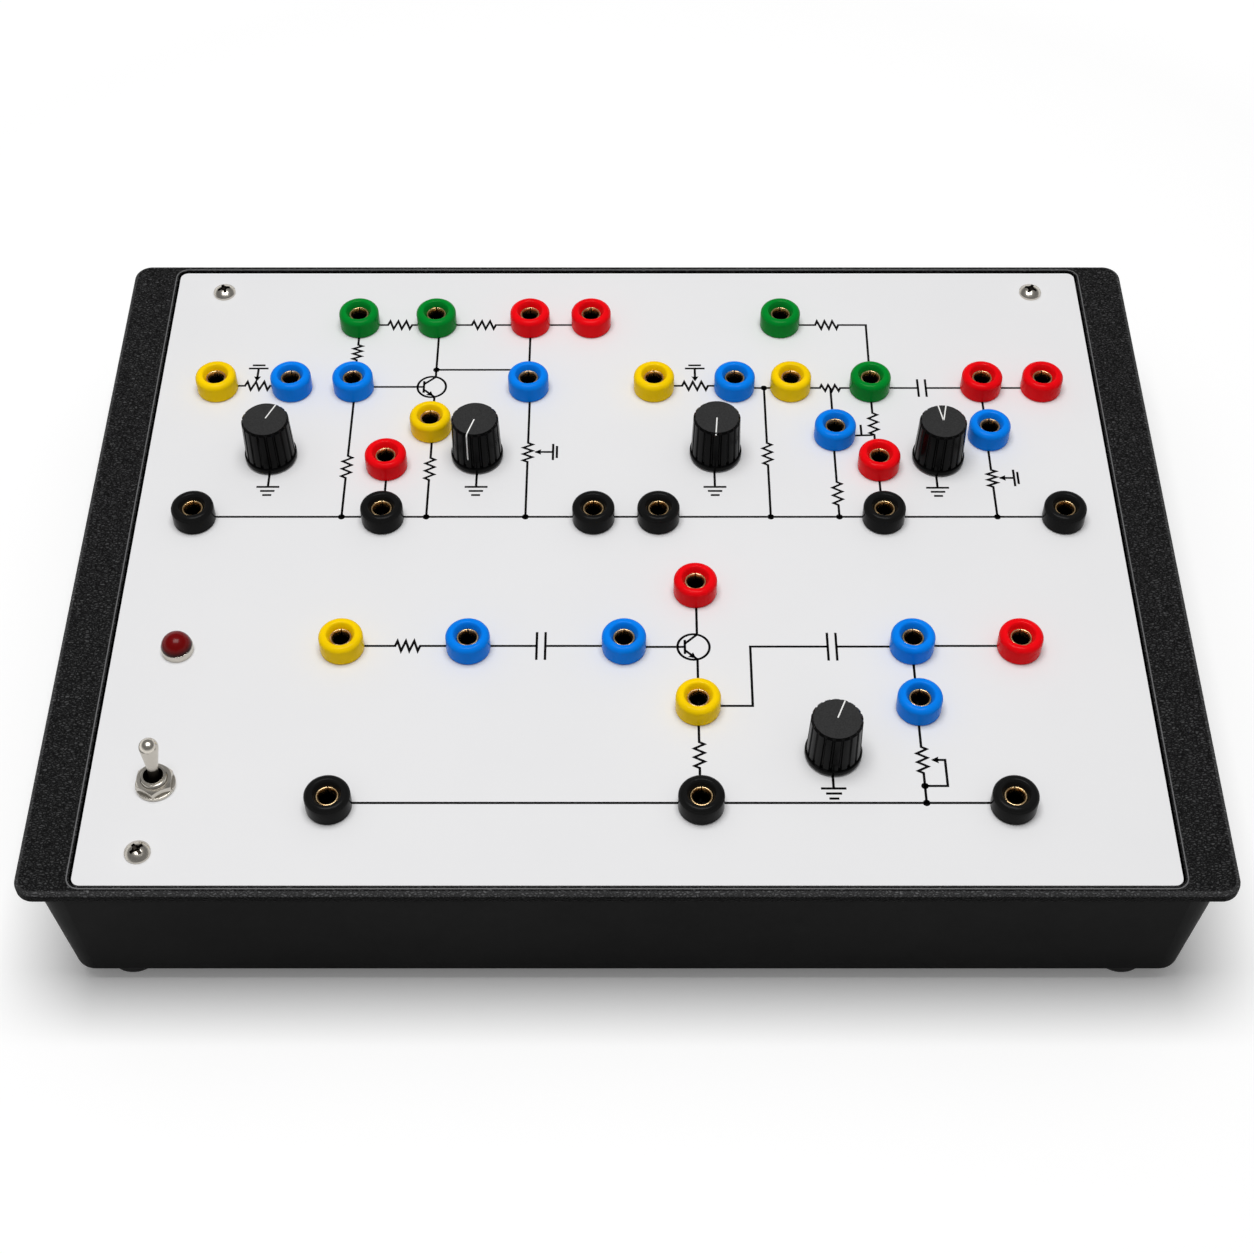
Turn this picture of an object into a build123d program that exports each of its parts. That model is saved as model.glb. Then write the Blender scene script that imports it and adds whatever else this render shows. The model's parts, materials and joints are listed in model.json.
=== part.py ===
from build123d import *
import math
import os

# Transistor amplifier trainer: a moulded tray closed by a flat panel that carries
# plug sockets, five control knobs, a toggle switch and a pilot lamp.
# Millimetres. X runs to the right, Y to the back, Z up. The origin is on the table
# under the middle of the tray.

# Front panel
panel_length = 250.0
panel_depth = 199.4
panel_thickness = 2.0
panel_corner_radius = 2.0
panel_gap = 0.5
panel_sink = 0.4

# Tray
side_flange = 12.4
end_lip = 2.3
rim_thickness = 2.9
rim_corner_radius = 4.5
rim_upper_radius = 1.2
rim_lower_radius = 0.2
body_height = 36.9
body_side_inset = 3.3
body_end_inset = 0.3
body_corner_radius = 8.0
body_bottom_radius = 1.5
draft_angle = 4.5
wall_thickness = 2.5
floor_thickness = 2.5
ledge_width = 3.0
ledge_thickness = 2.5

# Feet
foot_height = 4.5
foot_top_radius = 7.0
foot_bottom_radius = 6.5
foot_taper_height = 1.5
foot_side_inset = 12.7
foot_end_inset = 8.5

# Screws that hold the panel
screw_radius = 1.5
screw_length = 12.0
screw_head_radius = 3.0
screw_head_height = 2.0
head_edge_height = 0.6
screw_side_inset = 13.0
screw_end_inset = 7.9
front_screw_side_inset = 14.0
front_screw_end_inset = 8.6
screw_clearance = 0.2
boss_radius = 3.8
pilot_clearance = 0.05
pilot_spare = 2.0

# Plug sockets
plug_bore_radius = 2.0
plug_bore_depth = 17.0
contact_radius = 2.65
contact_flats = 8.0
contact_body_length = 12.0
head_radius = 5.25
head_height = 5.1
recess_radius = 3.3
recess_depth = 1.2
head_clearance = 0.05
socket_hole_clearance = 0.1

# Rows of sockets: the top and the bottom row stand in from the panel's edges, and the
# others are set from its middle
top_row_inset = 20.5
bottom_row_inset = 21.3
half_length = panel_length / 2
half_depth = panel_depth / 2
top_row = half_depth - top_row_inset
upper_row = 55.0
bus_row = 8.8
middle_row = -32.5
lower_row = -50.6
bottom_row = bottom_row_inset - half_depth

# The outer sockets of a row stand in from the panel's ends
right_red_inset = 14.4
left_yellow_inset = 15.4
left_black_inset = 14.8
right_black_inset = 14.0

red_places = [
    (-26.6, top_row),
    (-9.9, top_row),
    (94.5, upper_row),
    (half_length - right_red_inset, upper_row),
    (-62.5, 27.0),
    (65.2, 26.8),
    (16.8, -15.0),
    (95.2, middle_row),
]
yellow_places = [
    (left_yellow_inset - half_length, upper_row),
    (7.1, upper_row),
    (43.6, upper_row),
    (-51.7, 40.3),
    (-69.3, middle_row),
    (16.8, lower_row),
]
blue_places = [
    (-89.7, upper_row),
    (-73.2, upper_row),
    (-26.4, upper_row),
    (28.6, upper_row),
    (54.4, 37.4),
    (94.8, 37.4),
    (-38.6, middle_row),
    (-0.8, middle_row),
    (69.1, middle_row),
    (69.3, lower_row),
]
green_places = [
    (-73.3, top_row),
    (-52.2, top_row),
    (41.8, top_row),
    (64.8, upper_row),
]
black_places = [
    (left_black_inset - half_length, bus_row),
    (-62.3, bus_row),
    (-8.6, bus_row),
    (7.9, bus_row),
    (65.2, bus_row),
    (half_length - right_black_inset, bus_row),
    (-68.7, bottom_row),
    (17.0, bottom_row),
    (88.9, bottom_row),
]

# Controls: knob places, and the way each pointer faces, turned from the back
knob_places = [(-92.8, 30.4), (-39.1, 30.6), (23.0, 31.2), (80.9, 29.7), (48.2, -63.8)]
pointer_angles = [-25.0, 162.0, 176.0, 7.0, -22.0]

# Knob
knob_height = 13.6
knob_lift = 0.5
skirt_radius = 6.75
skirt_height = 1.5
knob_base_radius = 6.4
knob_top_radius = 6.05
disc_radius = 5.5
disc_rise = 0.6
flute_count = 18
flute_depth = 0.35
flute_width = 0.7
pointer_width = 0.65
pointer_depth = 0.3
pointer_start = 0.3
knob_fit = 0.02
shaft_grip = 7.5
shaft_end_gap = 0.3
grip_gap = 0.3
nut_room = 0.4

# Potentiometer behind each knob
shaft_radius = 3.0
shaft_flat = 2.0
shaft_running_clearance = 0.05
rotor_radius = 5.4
rotor_thickness = 1.0
rotor_room = 0.3
housing_cover = 1.5
bushing_radius = 3.5
bushing_rise = 2.6
housing_radius = 8.2
housing_height = 8.0
terminal_width = 10.0
terminal_reach = 11.5
terminal_thickness = 1.6
terminal_drop = 4.0
pot_hole_clearance = 0.1
pot_nut_flats = 9.0
pot_nut_height = 2.0
nut_clearance = 0.05

# Toggle switch
switch_side_inset = 15.7
switch_end_inset = 27.1
switch_place = (switch_side_inset - half_length, switch_end_inset - half_depth)
switch_bushing_radius = 3.0
switch_bushing_rise = 4.1
switch_mouth_radius = 2.15
switch_body_length = 13.0
switch_body_width = 8.0
switch_body_height = 9.0
terminal_pin_length = 4.0
terminal_pin_pitch = 4.7
terminal_pin_width = 3.2
terminal_pin_thickness = 0.8
washer_radius = 4.9
washer_thickness = 0.9
switch_nut_flats = 8.0
switch_nut_height = 2.0
nut_chamfer = 0.6
lever_tilt = 12.0
pivot_depth = 3.5
ball_radius = 1.9
ball_clearance = 0.05
neck_radius = 1.3
neck_length = 5.0
lever_tip_radius = 2.0
lever_length = 11.7
lever_tail_radius = 0.7
lever_tail_length = 3.6
tail_room = 0.5

# Pilot lamp
lamp_side_inset = 15.8
lamp_place = (lamp_side_inset - half_length, -33.3)
bezel_radius = 3.9
bezel_height = 2.0
bezel_edge = 0.4
lamp_barrel_radius = 3.0
lamp_barrel_length = 9.0
lens_radius = 3.5
lens_rise = 3.4
lens_stem_radius = 2.3
lens_stem_length = 6.0
lens_clearance = 0.05
lamp_nut_flats = 8.0
lamp_nut_height = 2.0
lamp_hole_clearance = 0.1

# Cord grommet in the back wall
grommet_side_inset = 41.0
grommet_x = grommet_side_inset - half_length
grommet_height = 20.0
grommet_bore_radius = 3.0
grommet_neck_radius = 4.5
grommet_flange_radius = 6.0
grommet_flange_thickness = 1.2
grommet_clearance = 0.05

# Power supply inside: transformer, board and capacitor
transformer_side_inset = 99.0
transformer_end_inset = 33.7
transformer_place = (transformer_side_inset - half_length, transformer_end_inset - half_depth)
core_width = 35.0
core_height = 27.0
core_thickness = 14.0
core_leg = 6.0
centre_leg = 11.0
coil_overhang = 6.0
coil_clearance = 0.1
coil_corner_radius = 3.0
strap_thickness = 1.0
strap_width = 9.0
ear_length = 9.0
small_screw_radius = 1.5
strap_screw_length = 3.0
strap_pilot_spare = 0.2
board_screw_length = 5.0
small_head_radius = 2.8
small_head_height = 1.6
small_head_edge = 0.8
ear_hole_clearance = 0.2
strap_gap = 0.1
board_side_inset = 39.0
board_end_inset = 41.7
board_place = (board_side_inset - half_length, board_end_inset - half_depth)
board_length = 56.0
board_width = 44.0
board_thickness = 1.6
board_inset = 4.0
post_height = 5.0
post_radius = 3.0
capacitor_radius = 5.0
capacitor_height = 15.0
capacitor_edge = 0.5
capacitor_offset = 4.0
capacitor_place = (board_place[0] - capacitor_offset, board_place[1] + capacitor_offset)

# Worked out from the sizes above
draft_slope = math.tan(math.radians(draft_angle))
recess_length = panel_length + 2 * panel_gap
recess_width = panel_depth + 2 * panel_gap
rim_length = recess_length + 2 * side_flange
rim_depth = recess_width + 2 * end_lip
body_length = rim_length - 2 * body_side_inset
body_depth = rim_depth - 2 * body_end_inset
rim_underside = foot_height + body_height
rim_top = rim_underside + rim_thickness
panel_top = rim_top - panel_sink
panel_bottom = panel_top - panel_thickness
floor_top = foot_height + floor_thickness
knob_bottom = panel_top + knob_lift
knob_top = knob_bottom + knob_height
grip_bottom = panel_top + bushing_rise + grip_gap
shaft_top = grip_bottom + shaft_grip
post_top = floor_top + post_height
pilot_radius = screw_radius + pilot_clearance
small_pilot_radius = small_screw_radius + pilot_clearance
strap_pilot_depth = strap_screw_length - strap_thickness + strap_pilot_spare
board_pilot_depth = board_screw_length - board_thickness + strap_pilot_spare
half_board_length = board_length / 2 - board_inset
half_board_width = board_width / 2 - board_inset
strap_inner = core_width / 2 + strap_gap
ear_offset = strap_inner + strap_thickness + ear_length / 2
screw_x = half_length - screw_side_inset
screw_y = half_depth - screw_end_inset
front_screw_place = (front_screw_side_inset - half_length, front_screw_end_inset - half_depth)
screw_places = [(-screw_x, screw_y), (screw_x, screw_y), front_screw_place]
foot_x = body_length / 2 - body_height * draft_slope - foot_side_inset
foot_y = body_depth / 2 - body_height * draft_slope - foot_end_inset
socket_places = red_places + yellow_places + blue_places + green_places + black_places


def at_height(height):
    """A level plane at this height."""
    return Plane.XY.offset(height)


def copies(piece, places):
    """The same piece set down at each place on the panel, as separate solids."""
    with BuildPart() as group:
        with Locations(*[(x, y, 0) for x, y in places]):
            add(piece)
    return group


def placed(piece, place, angle=0.0):
    """The piece set down at one place on the panel, turned by this angle."""
    with BuildPart() as one:
        with Locations(Location((place[0], place[1], 0), (0, 0, angle))):
            add(piece)
    return one


def save(built, name):
    """Label a finished piece and write it to its own file."""
    built.part.label = name
    export_step(built.part, f"parts/{name}.step")


def board_corners():
    """Places of the four screws of the supply board."""
    x, y = board_place
    return [
        (x + i * half_board_length, y + j * half_board_width) for i in (-1, 1) for j in (-1, 1)
    ]


def strap_ears():
    """Places of the two screws of the transformer strap."""
    x, y = transformer_place
    return [(x - ear_offset, y), (x + ear_offset, y)]


def back_wall_plane():
    """A plane on the outside of the sloping back wall, facing out, at the cord entry."""
    wall_y = body_depth / 2 - (rim_underside - grommet_height) * draft_slope
    slope = math.radians(draft_angle)
    return Plane(
        origin=(grommet_x, wall_y, grommet_height),
        x_dir=(1, 0, 0),
        z_dir=(0, math.cos(slope), -math.sin(slope)),
    )


def make_rim():
    """The broad rounded rim round the top of the tray."""
    with BuildPart() as rim:
        with BuildSketch(at_height(rim_underside)):
            RectangleRounded(rim_length, rim_depth, rim_corner_radius)
        extrude(amount=rim_thickness)
        fillet(rim.edges().group_by(Axis.Z)[-1], radius=rim_upper_radius)
        fillet(rim.edges().group_by(Axis.Z)[0], radius=rim_lower_radius)
    return rim


def make_case_tray():
    """Tapered tray with a rim, a ledge for the panel and posts on its floor."""
    rim = make_rim()
    cavity_top = panel_bottom - ledge_thickness
    fall = (rim_underside - cavity_top) * draft_slope
    with BuildPart() as case_tray:
        with BuildSketch(Plane(origin=(0, 0, rim_underside), z_dir=(0, 0, -1))):
            RectangleRounded(body_length, body_depth, body_corner_radius)
        extrude(amount=body_height, taper=draft_angle)
        fillet(case_tray.edges().group_by(Axis.Z)[0], radius=body_bottom_radius)
        add(rim.part)
        # Recess that takes the panel
        with BuildSketch(at_height(panel_bottom)):
            RectangleRounded(recess_length, recess_width, panel_corner_radius + panel_gap)
        extrude(amount=panel_thickness + panel_sink, mode=Mode.SUBTRACT)
        # Throat inside the ledge
        with BuildSketch(at_height(cavity_top)):
            RectangleRounded(
                recess_length - 2 * ledge_width,
                recess_width - 2 * ledge_width,
                panel_corner_radius + panel_gap,
            )
        extrude(amount=ledge_thickness, mode=Mode.SUBTRACT)
        # Hollow under the ledge
        with BuildSketch(Plane(origin=(0, 0, cavity_top), z_dir=(0, 0, -1))):
            RectangleRounded(
                body_length - 2 * (wall_thickness + fall),
                body_depth - 2 * (wall_thickness + fall),
                body_corner_radius - wall_thickness,
            )
        extrude(amount=cavity_top - floor_top, taper=draft_angle, mode=Mode.SUBTRACT)
        # Bosses for the panel screws, and posts for the supply board
        with BuildSketch(at_height(floor_top)):
            with Locations(*screw_places):
                Circle(boss_radius)
        extrude(amount=panel_bottom - floor_top)
        with BuildSketch(at_height(floor_top)):
            with Locations(*board_corners()):
                Circle(post_radius)
        extrude(amount=post_height)
        with Locations(*[(x, y, panel_bottom) for x, y in screw_places]):
            Hole(pilot_radius, depth=screw_length - panel_thickness + pilot_spare)
        with Locations(*[(x, y, post_top) for x, y in board_corners()]):
            Hole(small_pilot_radius, depth=board_pilot_depth)
        with Locations(*[(x, y, floor_top) for x, y in strap_ears()]):
            Hole(small_pilot_radius, depth=strap_pilot_depth)
        # Cord entry through the back wall
        with BuildSketch(back_wall_plane()):
            Circle(grommet_neck_radius + grommet_clearance)
        extrude(amount=2 * wall_thickness, both=True, mode=Mode.SUBTRACT)
    return case_tray


def make_front_panel():
    """Flat panel drilled for every socket and control."""
    with BuildPart() as front_panel:
        with BuildSketch(at_height(panel_bottom)):
            RectangleRounded(panel_length, panel_depth, panel_corner_radius)
            with Locations(*socket_places):
                Circle(contact_radius + socket_hole_clearance, mode=Mode.SUBTRACT)
            with Locations(*knob_places):
                Circle(bushing_radius + pot_hole_clearance, mode=Mode.SUBTRACT)
            with Locations(*screw_places):
                Circle(screw_radius + screw_clearance, mode=Mode.SUBTRACT)
            with Locations(switch_place):
                Circle(switch_bushing_radius + pot_hole_clearance, mode=Mode.SUBTRACT)
            with Locations(lamp_place):
                Circle(lamp_barrel_radius + lamp_hole_clearance, mode=Mode.SUBTRACT)
        extrude(amount=panel_thickness)
    return front_panel


def dome_arc(base, foot, rise):
    """Part of a circle from the rim of a dome up to its top on the axis."""
    straight_up = 90.0
    radius = (base**2 + rise**2) / (2 * rise)
    centre = foot + rise - radius
    start = math.degrees(math.atan2(foot - centre, base))
    return CenterArc((0, centre), radius, start, straight_up - start)


def make_panel_screw():
    """Screw with a domed head standing on the panel, and its shank below."""
    edge = panel_top + head_edge_height
    with BuildPart() as screw:
        with BuildSketch(Plane.XZ):
            with BuildLine():
                dome = dome_arc(screw_head_radius, edge, screw_head_height - head_edge_height)
                Polyline(
                    dome @ 1,
                    (0, panel_top - screw_length),
                    (screw_radius, panel_top - screw_length),
                    (screw_radius, panel_top),
                    (screw_head_radius, panel_top),
                    dome @ 0,
                )
            make_face()
        revolve(axis=Axis.Z)
    return screw


def make_small_screw(seat, shank_length):
    """Screw with a bevelled head on its seat, and its shank below."""
    with BuildPart() as screw:
        with BuildSketch(Plane.XZ):
            with BuildLine():
                Polyline(
                    (0, seat - shank_length),
                    (small_screw_radius, seat - shank_length),
                    (small_screw_radius, seat),
                    (small_head_radius, seat),
                    (small_head_radius, seat + small_head_height - small_head_edge),
                    (small_head_radius - small_head_edge, seat + small_head_height),
                    (0, seat + small_head_height),
                    close=True,
                )
            make_face()
        revolve(axis=Axis.Z)
    return screw


def make_foot():
    """Round rubber foot, wider where it meets the tray."""
    with BuildPart() as foot:
        with BuildSketch(Plane.XZ):
            with BuildLine():
                Polyline(
                    (0, 0),
                    (foot_bottom_radius, 0),
                    (foot_top_radius, foot_taper_height),
                    (foot_top_radius, foot_height),
                    (0, foot_height),
                    close=True,
                )
            make_face()
        revolve(axis=Axis.Z)
    return foot


def make_socket_head():
    """Moulded collar of a socket, with a sloped mouth round its brass sleeve."""
    bore = contact_radius + head_clearance
    top = panel_top + head_height
    with BuildPart() as head:
        with BuildSketch(Plane.XZ):
            with BuildLine():
                Polyline(
                    (bore, panel_top),
                    (head_radius, panel_top),
                    (head_radius, top),
                    (recess_radius, top),
                    (bore, top - recess_depth),
                    close=True,
                )
            make_face()
        revolve(axis=Axis.Z)
    return head


def make_socket_contact():
    """Brass sleeve that takes the plug, clamped under the panel by its hexagon body."""
    rim = panel_top + head_height - recess_depth
    with BuildPart() as contact:
        with BuildSketch(at_height(panel_bottom)):
            RegularPolygon(contact_flats / 2, 6, major_radius=False)
        extrude(amount=-contact_body_length)
        with BuildSketch(at_height(panel_bottom)):
            Circle(contact_radius)
        extrude(amount=rim - panel_bottom)
        with Locations((0, 0, rim)):
            Hole(plug_bore_radius, depth=plug_bore_depth)
    return contact


def make_nut(flats, height, bore, seat, edge=0.0):
    """Hexagon nut with its lower face on its seat, its top corners turned down by edge."""
    corner = flats / math.sqrt(3)
    with BuildPart() as nut:
        with BuildSketch(at_height(seat)):
            RegularPolygon(flats / 2, 6, major_radius=False)
            Circle(bore, mode=Mode.SUBTRACT)
        extrude(amount=height)
        if edge > 0:
            with BuildSketch(Plane.XZ):
                with BuildLine():
                    Polyline(
                        (0, seat),
                        (corner, seat),
                        (corner, seat + height - edge),
                        (flats / 2, seat + height),
                        (0, seat + height),
                        close=True,
                    )
                make_face()
            revolve(axis=Axis.Z, mode=Mode.INTERSECT)
    return nut


def cut_flat(radius, flat, bottom, height):
    """Cutter that leaves one flat along a round shaft."""
    with BuildPart() as cutter:
        with BuildSketch(at_height(bottom)):
            with Locations((0, -flat)):
                Rectangle(2 * radius, radius, align=(Align.CENTER, Align.MAX))
        extrude(amount=height)
    return cutter


def shaft_socket():
    """The hollow in a knob that fits its shaft, flat included."""
    radius = shaft_radius + knob_fit
    height = shaft_grip + shaft_end_gap
    flat = cut_flat(radius, shaft_flat + knob_fit, grip_bottom, height)
    with BuildPart() as hollow:
        with BuildSketch(at_height(grip_bottom)):
            Circle(radius)
        extrude(amount=height)
        add(flat.part, mode=Mode.SUBTRACT)
    return hollow


def make_fluted_body():
    """The gripped part of a knob: a slight cone with narrow flutes all round."""
    with BuildPart() as body:
        for height, radius in [
            (knob_bottom + skirt_height, knob_base_radius),
            (knob_top - disc_rise, knob_top_radius),
        ]:
            with BuildSketch(at_height(height)):
                Circle(radius)
                with PolarLocations(radius, flute_count):
                    Rectangle(2 * flute_depth, flute_width, mode=Mode.SUBTRACT)
        loft(ruled=True)
    return body


def make_knob():
    """Fluted knob with a skirt, a flat disc on top and a pointer groove facing the back."""
    hollow = shaft_socket()
    fluted = make_fluted_body()
    disc_base = knob_top_radius - flute_depth
    with BuildPart() as knob:
        with BuildSketch(Plane.XZ):
            with BuildLine():
                Polyline(
                    (0, knob_bottom),
                    (skirt_radius, knob_bottom),
                    (skirt_radius, knob_bottom + skirt_height),
                    (disc_base, knob_bottom + skirt_height),
                    (disc_base, knob_top - disc_rise),
                    (disc_radius, knob_top),
                    (0, knob_top),
                    close=True,
                )
            make_face()
        revolve(axis=Axis.Z)
        add(fluted.part)
        with BuildSketch(at_height(knob_top)):
            with Locations((0, pointer_start)):
                Rectangle(pointer_width, disc_radius, align=(Align.CENTER, Align.MIN))
        extrude(amount=-pointer_depth, mode=Mode.SUBTRACT)
        with BuildSketch(at_height(knob_bottom)):
            Circle(pot_nut_flats / math.sqrt(3) + nut_room)
        extrude(amount=grip_bottom - knob_bottom, mode=Mode.SUBTRACT)
        add(hollow.part, mode=Mode.SUBTRACT)
    return knob


def make_pot_shaft():
    """Control shaft with the wiper rotor on its lower end and a flat for the knob."""
    rotor_top = panel_bottom - housing_cover - rotor_room
    flat = cut_flat(shaft_radius, shaft_flat, grip_bottom, shaft_grip)
    with BuildPart() as shaft:
        with BuildSketch(Plane.XZ):
            with BuildLine():
                Polyline(
                    (0, rotor_top - rotor_thickness),
                    (rotor_radius, rotor_top - rotor_thickness),
                    (rotor_radius, rotor_top),
                    (shaft_radius, rotor_top),
                    (shaft_radius, shaft_top),
                    (0, shaft_top),
                    close=True,
                )
            make_face()
        revolve(axis=Axis.Z)
        add(flat.part, mode=Mode.SUBTRACT)
    return shaft


def make_pot_housing():
    """Round potentiometer body with its bushing, rotor chamber and terminal strip."""
    bore = shaft_radius + shaft_running_clearance
    chamber_top = panel_bottom - housing_cover
    chamber_bottom = chamber_top - rotor_thickness - 2 * rotor_room
    with BuildPart() as housing:
        with BuildSketch(at_height(panel_bottom - terminal_drop)):
            with Locations((0, -terminal_reach)):
                Rectangle(terminal_width, terminal_reach, align=(Align.CENTER, Align.MIN))
        extrude(amount=terminal_thickness)
        with BuildSketch(Plane.XZ):
            with BuildLine():
                Polyline(
                    (0, panel_bottom - housing_height),
                    (housing_radius, panel_bottom - housing_height),
                    (housing_radius, panel_bottom),
                    (bushing_radius, panel_bottom),
                    (bushing_radius, panel_top + bushing_rise),
                    (0, panel_top + bushing_rise),
                    close=True,
                )
            make_face()
        revolve(axis=Axis.Z)
        with BuildSketch(at_height(chamber_bottom)):
            Circle(rotor_radius + rotor_room)
        extrude(amount=chamber_top - chamber_bottom, mode=Mode.SUBTRACT)
        with BuildSketch(at_height(chamber_top)):
            Circle(bore)
        extrude(amount=panel_top + bushing_rise - chamber_top, mode=Mode.SUBTRACT)
    return housing


def make_switch_body():
    """Toggle switch case under the panel, with three solder pins."""
    x, y = switch_place
    pivot = panel_top + switch_bushing_rise - pivot_depth
    well = panel_bottom - (pivot - lever_tail_length) + tail_room
    bottom = panel_bottom - switch_body_height
    with BuildPart() as body:
        with BuildSketch(at_height(bottom)):
            with Locations((x, y)):
                Rectangle(switch_body_width, switch_body_length)
        extrude(amount=switch_body_height)
        with BuildSketch(at_height(bottom)):
            with Locations(*[(x, y + i * terminal_pin_pitch) for i in (-1, 0, 1)]):
                Rectangle(terminal_pin_width, terminal_pin_thickness)
        extrude(amount=-terminal_pin_length)
        with Locations((x, y, panel_bottom)):
            Hole(ball_radius + ball_clearance, depth=well)
    return body


def make_switch_bushing():
    """Bushing of the toggle switch: a ball seat below and a wider mouth above."""
    x, y = switch_place
    seat = ball_radius + ball_clearance
    top = panel_top + switch_bushing_rise
    ball_top = top - pivot_depth + ball_radius
    with BuildPart() as bushing:
        with BuildSketch(Plane.XZ):
            with BuildLine():
                Polyline(
                    (seat, panel_bottom),
                    (switch_bushing_radius, panel_bottom),
                    (switch_bushing_radius, top),
                    (switch_mouth_radius, top),
                    (seat, ball_top),
                    close=True,
                )
            make_face()
        revolve(axis=Axis.Z)
    return placed(bushing.part, (x, y))


def make_switch_lever():
    """Bat lever on its ball, leaning to the back."""
    with BuildPart() as upright:
        with BuildSketch(Plane.XZ):
            with BuildLine():
                tip = CenterArc((0, lever_length), lever_tip_radius, 0, 90)
                Polyline(
                    tip @ 0,
                    (neck_radius, neck_length),
                    (neck_radius, 0),
                    (lever_tail_radius, 0),
                    (lever_tail_radius, -lever_tail_length),
                    (0, -lever_tail_length),
                    tip @ 1,
                )
            make_face()
        revolve(axis=Axis.Z)
        Sphere(ball_radius)
    x, y = switch_place
    pivot = panel_top + switch_bushing_rise - pivot_depth
    with BuildPart() as lever:
        with Locations(Location((x, y, pivot), (-lever_tilt, 0, 0))):
            add(upright.part)
    return lever


def make_ring(outer, inner, seat, height):
    """Flat ring on its seat."""
    with BuildPart() as ring:
        with BuildSketch(at_height(seat)):
            Circle(outer)
            Circle(inner, mode=Mode.SUBTRACT)
        extrude(amount=height)
    return ring


def make_lamp_bezel():
    """Pilot lamp holder: a flange on the panel and a barrel through it."""
    bore = lens_stem_radius + lens_clearance
    top = panel_top + bezel_height
    with BuildPart() as bezel:
        with BuildSketch(Plane.XZ):
            with BuildLine():
                Polyline(
                    (bore, panel_top - lamp_barrel_length),
                    (lamp_barrel_radius, panel_top - lamp_barrel_length),
                    (lamp_barrel_radius, panel_top),
                    (bezel_radius, panel_top),
                    (bezel_radius, top - bezel_edge),
                    (lens_radius, top),
                    (bore, top),
                    close=True,
                )
            make_face()
        revolve(axis=Axis.Z)
    return placed(bezel.part, lamp_place)


def make_lamp_lens():
    """Domed lens with a stem that plugs into the bezel."""
    seat = panel_top + bezel_height
    with BuildPart() as lens:
        with BuildSketch(Plane.XZ):
            with BuildLine():
                dome = dome_arc(lens_radius, seat, lens_rise)
                Polyline(
                    dome @ 1,
                    (0, seat - lens_stem_length),
                    (lens_stem_radius, seat - lens_stem_length),
                    (lens_stem_radius, seat),
                    dome @ 0,
                )
            make_face()
        revolve(axis=Axis.Z)
    return placed(lens.part, lamp_place)


def make_cord_grommet():
    """Rubber grommet that lines the cord entry, flanged on both sides of the wall."""
    outside = back_wall_plane()
    wall = wall_thickness * math.cos(math.radians(draft_angle))
    with BuildPart() as grommet:
        with BuildSketch(outside):
            Circle(grommet_flange_radius)
        extrude(amount=grommet_flange_thickness)
        with BuildSketch(outside):
            Circle(grommet_neck_radius)
        extrude(amount=-wall)
        with BuildSketch(outside.offset(-wall)):
            Circle(grommet_flange_radius)
        extrude(amount=-grommet_flange_thickness)
        with BuildSketch(outside.offset(grommet_flange_thickness)):
            Circle(grommet_bore_radius)
        extrude(amount=-(wall + 2 * grommet_flange_thickness), mode=Mode.SUBTRACT)
    return grommet


def make_transformer_core():
    """Laminated core with two windows for the winding."""
    x, y = transformer_place
    window = (core_width - centre_leg) / 2 - core_leg
    with BuildPart() as core:
        with BuildSketch(Plane.XZ.offset(-y)):
            with Locations((x, floor_top + core_height / 2)):
                Rectangle(core_width, core_height)
                with GridLocations(centre_leg + window, 0, 2, 1):
                    Rectangle(window, core_height - 2 * core_leg, mode=Mode.SUBTRACT)
        extrude(amount=core_thickness / 2, both=True)
    return core


def make_transformer_coil():
    """Winding round the middle leg of the core."""
    x, y = transformer_place
    window = (core_width - centre_leg) / 2 - core_leg
    bottom = floor_top + core_leg + coil_clearance
    with BuildPart() as coil:
        with BuildSketch(at_height(bottom)):
            with Locations((x, y)):
                RectangleRounded(
                    centre_leg + 2 * (window - coil_clearance),
                    core_thickness + 2 * coil_overhang,
                    coil_corner_radius,
                )
                Rectangle(
                    centre_leg + 2 * coil_clearance,
                    core_thickness + 2 * coil_clearance,
                    mode=Mode.SUBTRACT,
                )
        extrude(amount=core_height - 2 * (core_leg + coil_clearance))
    return coil


def make_transformer_strap():
    """Bent strap over the core, with an ear at each foot for a screw."""
    x, y = transformer_place
    top = floor_top + core_height
    outer = strap_inner + strap_thickness
    with BuildPart() as strap:
        with BuildSketch(Plane.XZ.offset(-y)):
            with BuildLine() as half:
                Polyline(
                    (x, top),
                    (x + strap_inner, top),
                    (x + strap_inner, floor_top),
                    (x + outer + ear_length, floor_top),
                    (x + outer + ear_length, floor_top + strap_thickness),
                    (x + outer, floor_top + strap_thickness),
                    (x + outer, top + strap_thickness),
                    (x, top + strap_thickness),
                )
                mirror(half.line, about=Plane.YZ.offset(x))
            make_face()
        extrude(amount=strap_width / 2, both=True)
        with Locations(*[(a, b, floor_top + strap_thickness) for a, b in strap_ears()]):
            Hole(small_screw_radius + ear_hole_clearance, depth=strap_thickness)
    return strap


def make_supply_board():
    """Circuit board of the supply, drilled at its corners."""
    with BuildPart() as board:
        with BuildSketch(at_height(post_top)):
            with Locations(board_place):
                Rectangle(board_length, board_width)
            with Locations(*board_corners()):
                Circle(small_screw_radius + ear_hole_clearance, mode=Mode.SUBTRACT)
        extrude(amount=board_thickness)
    return board


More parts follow.
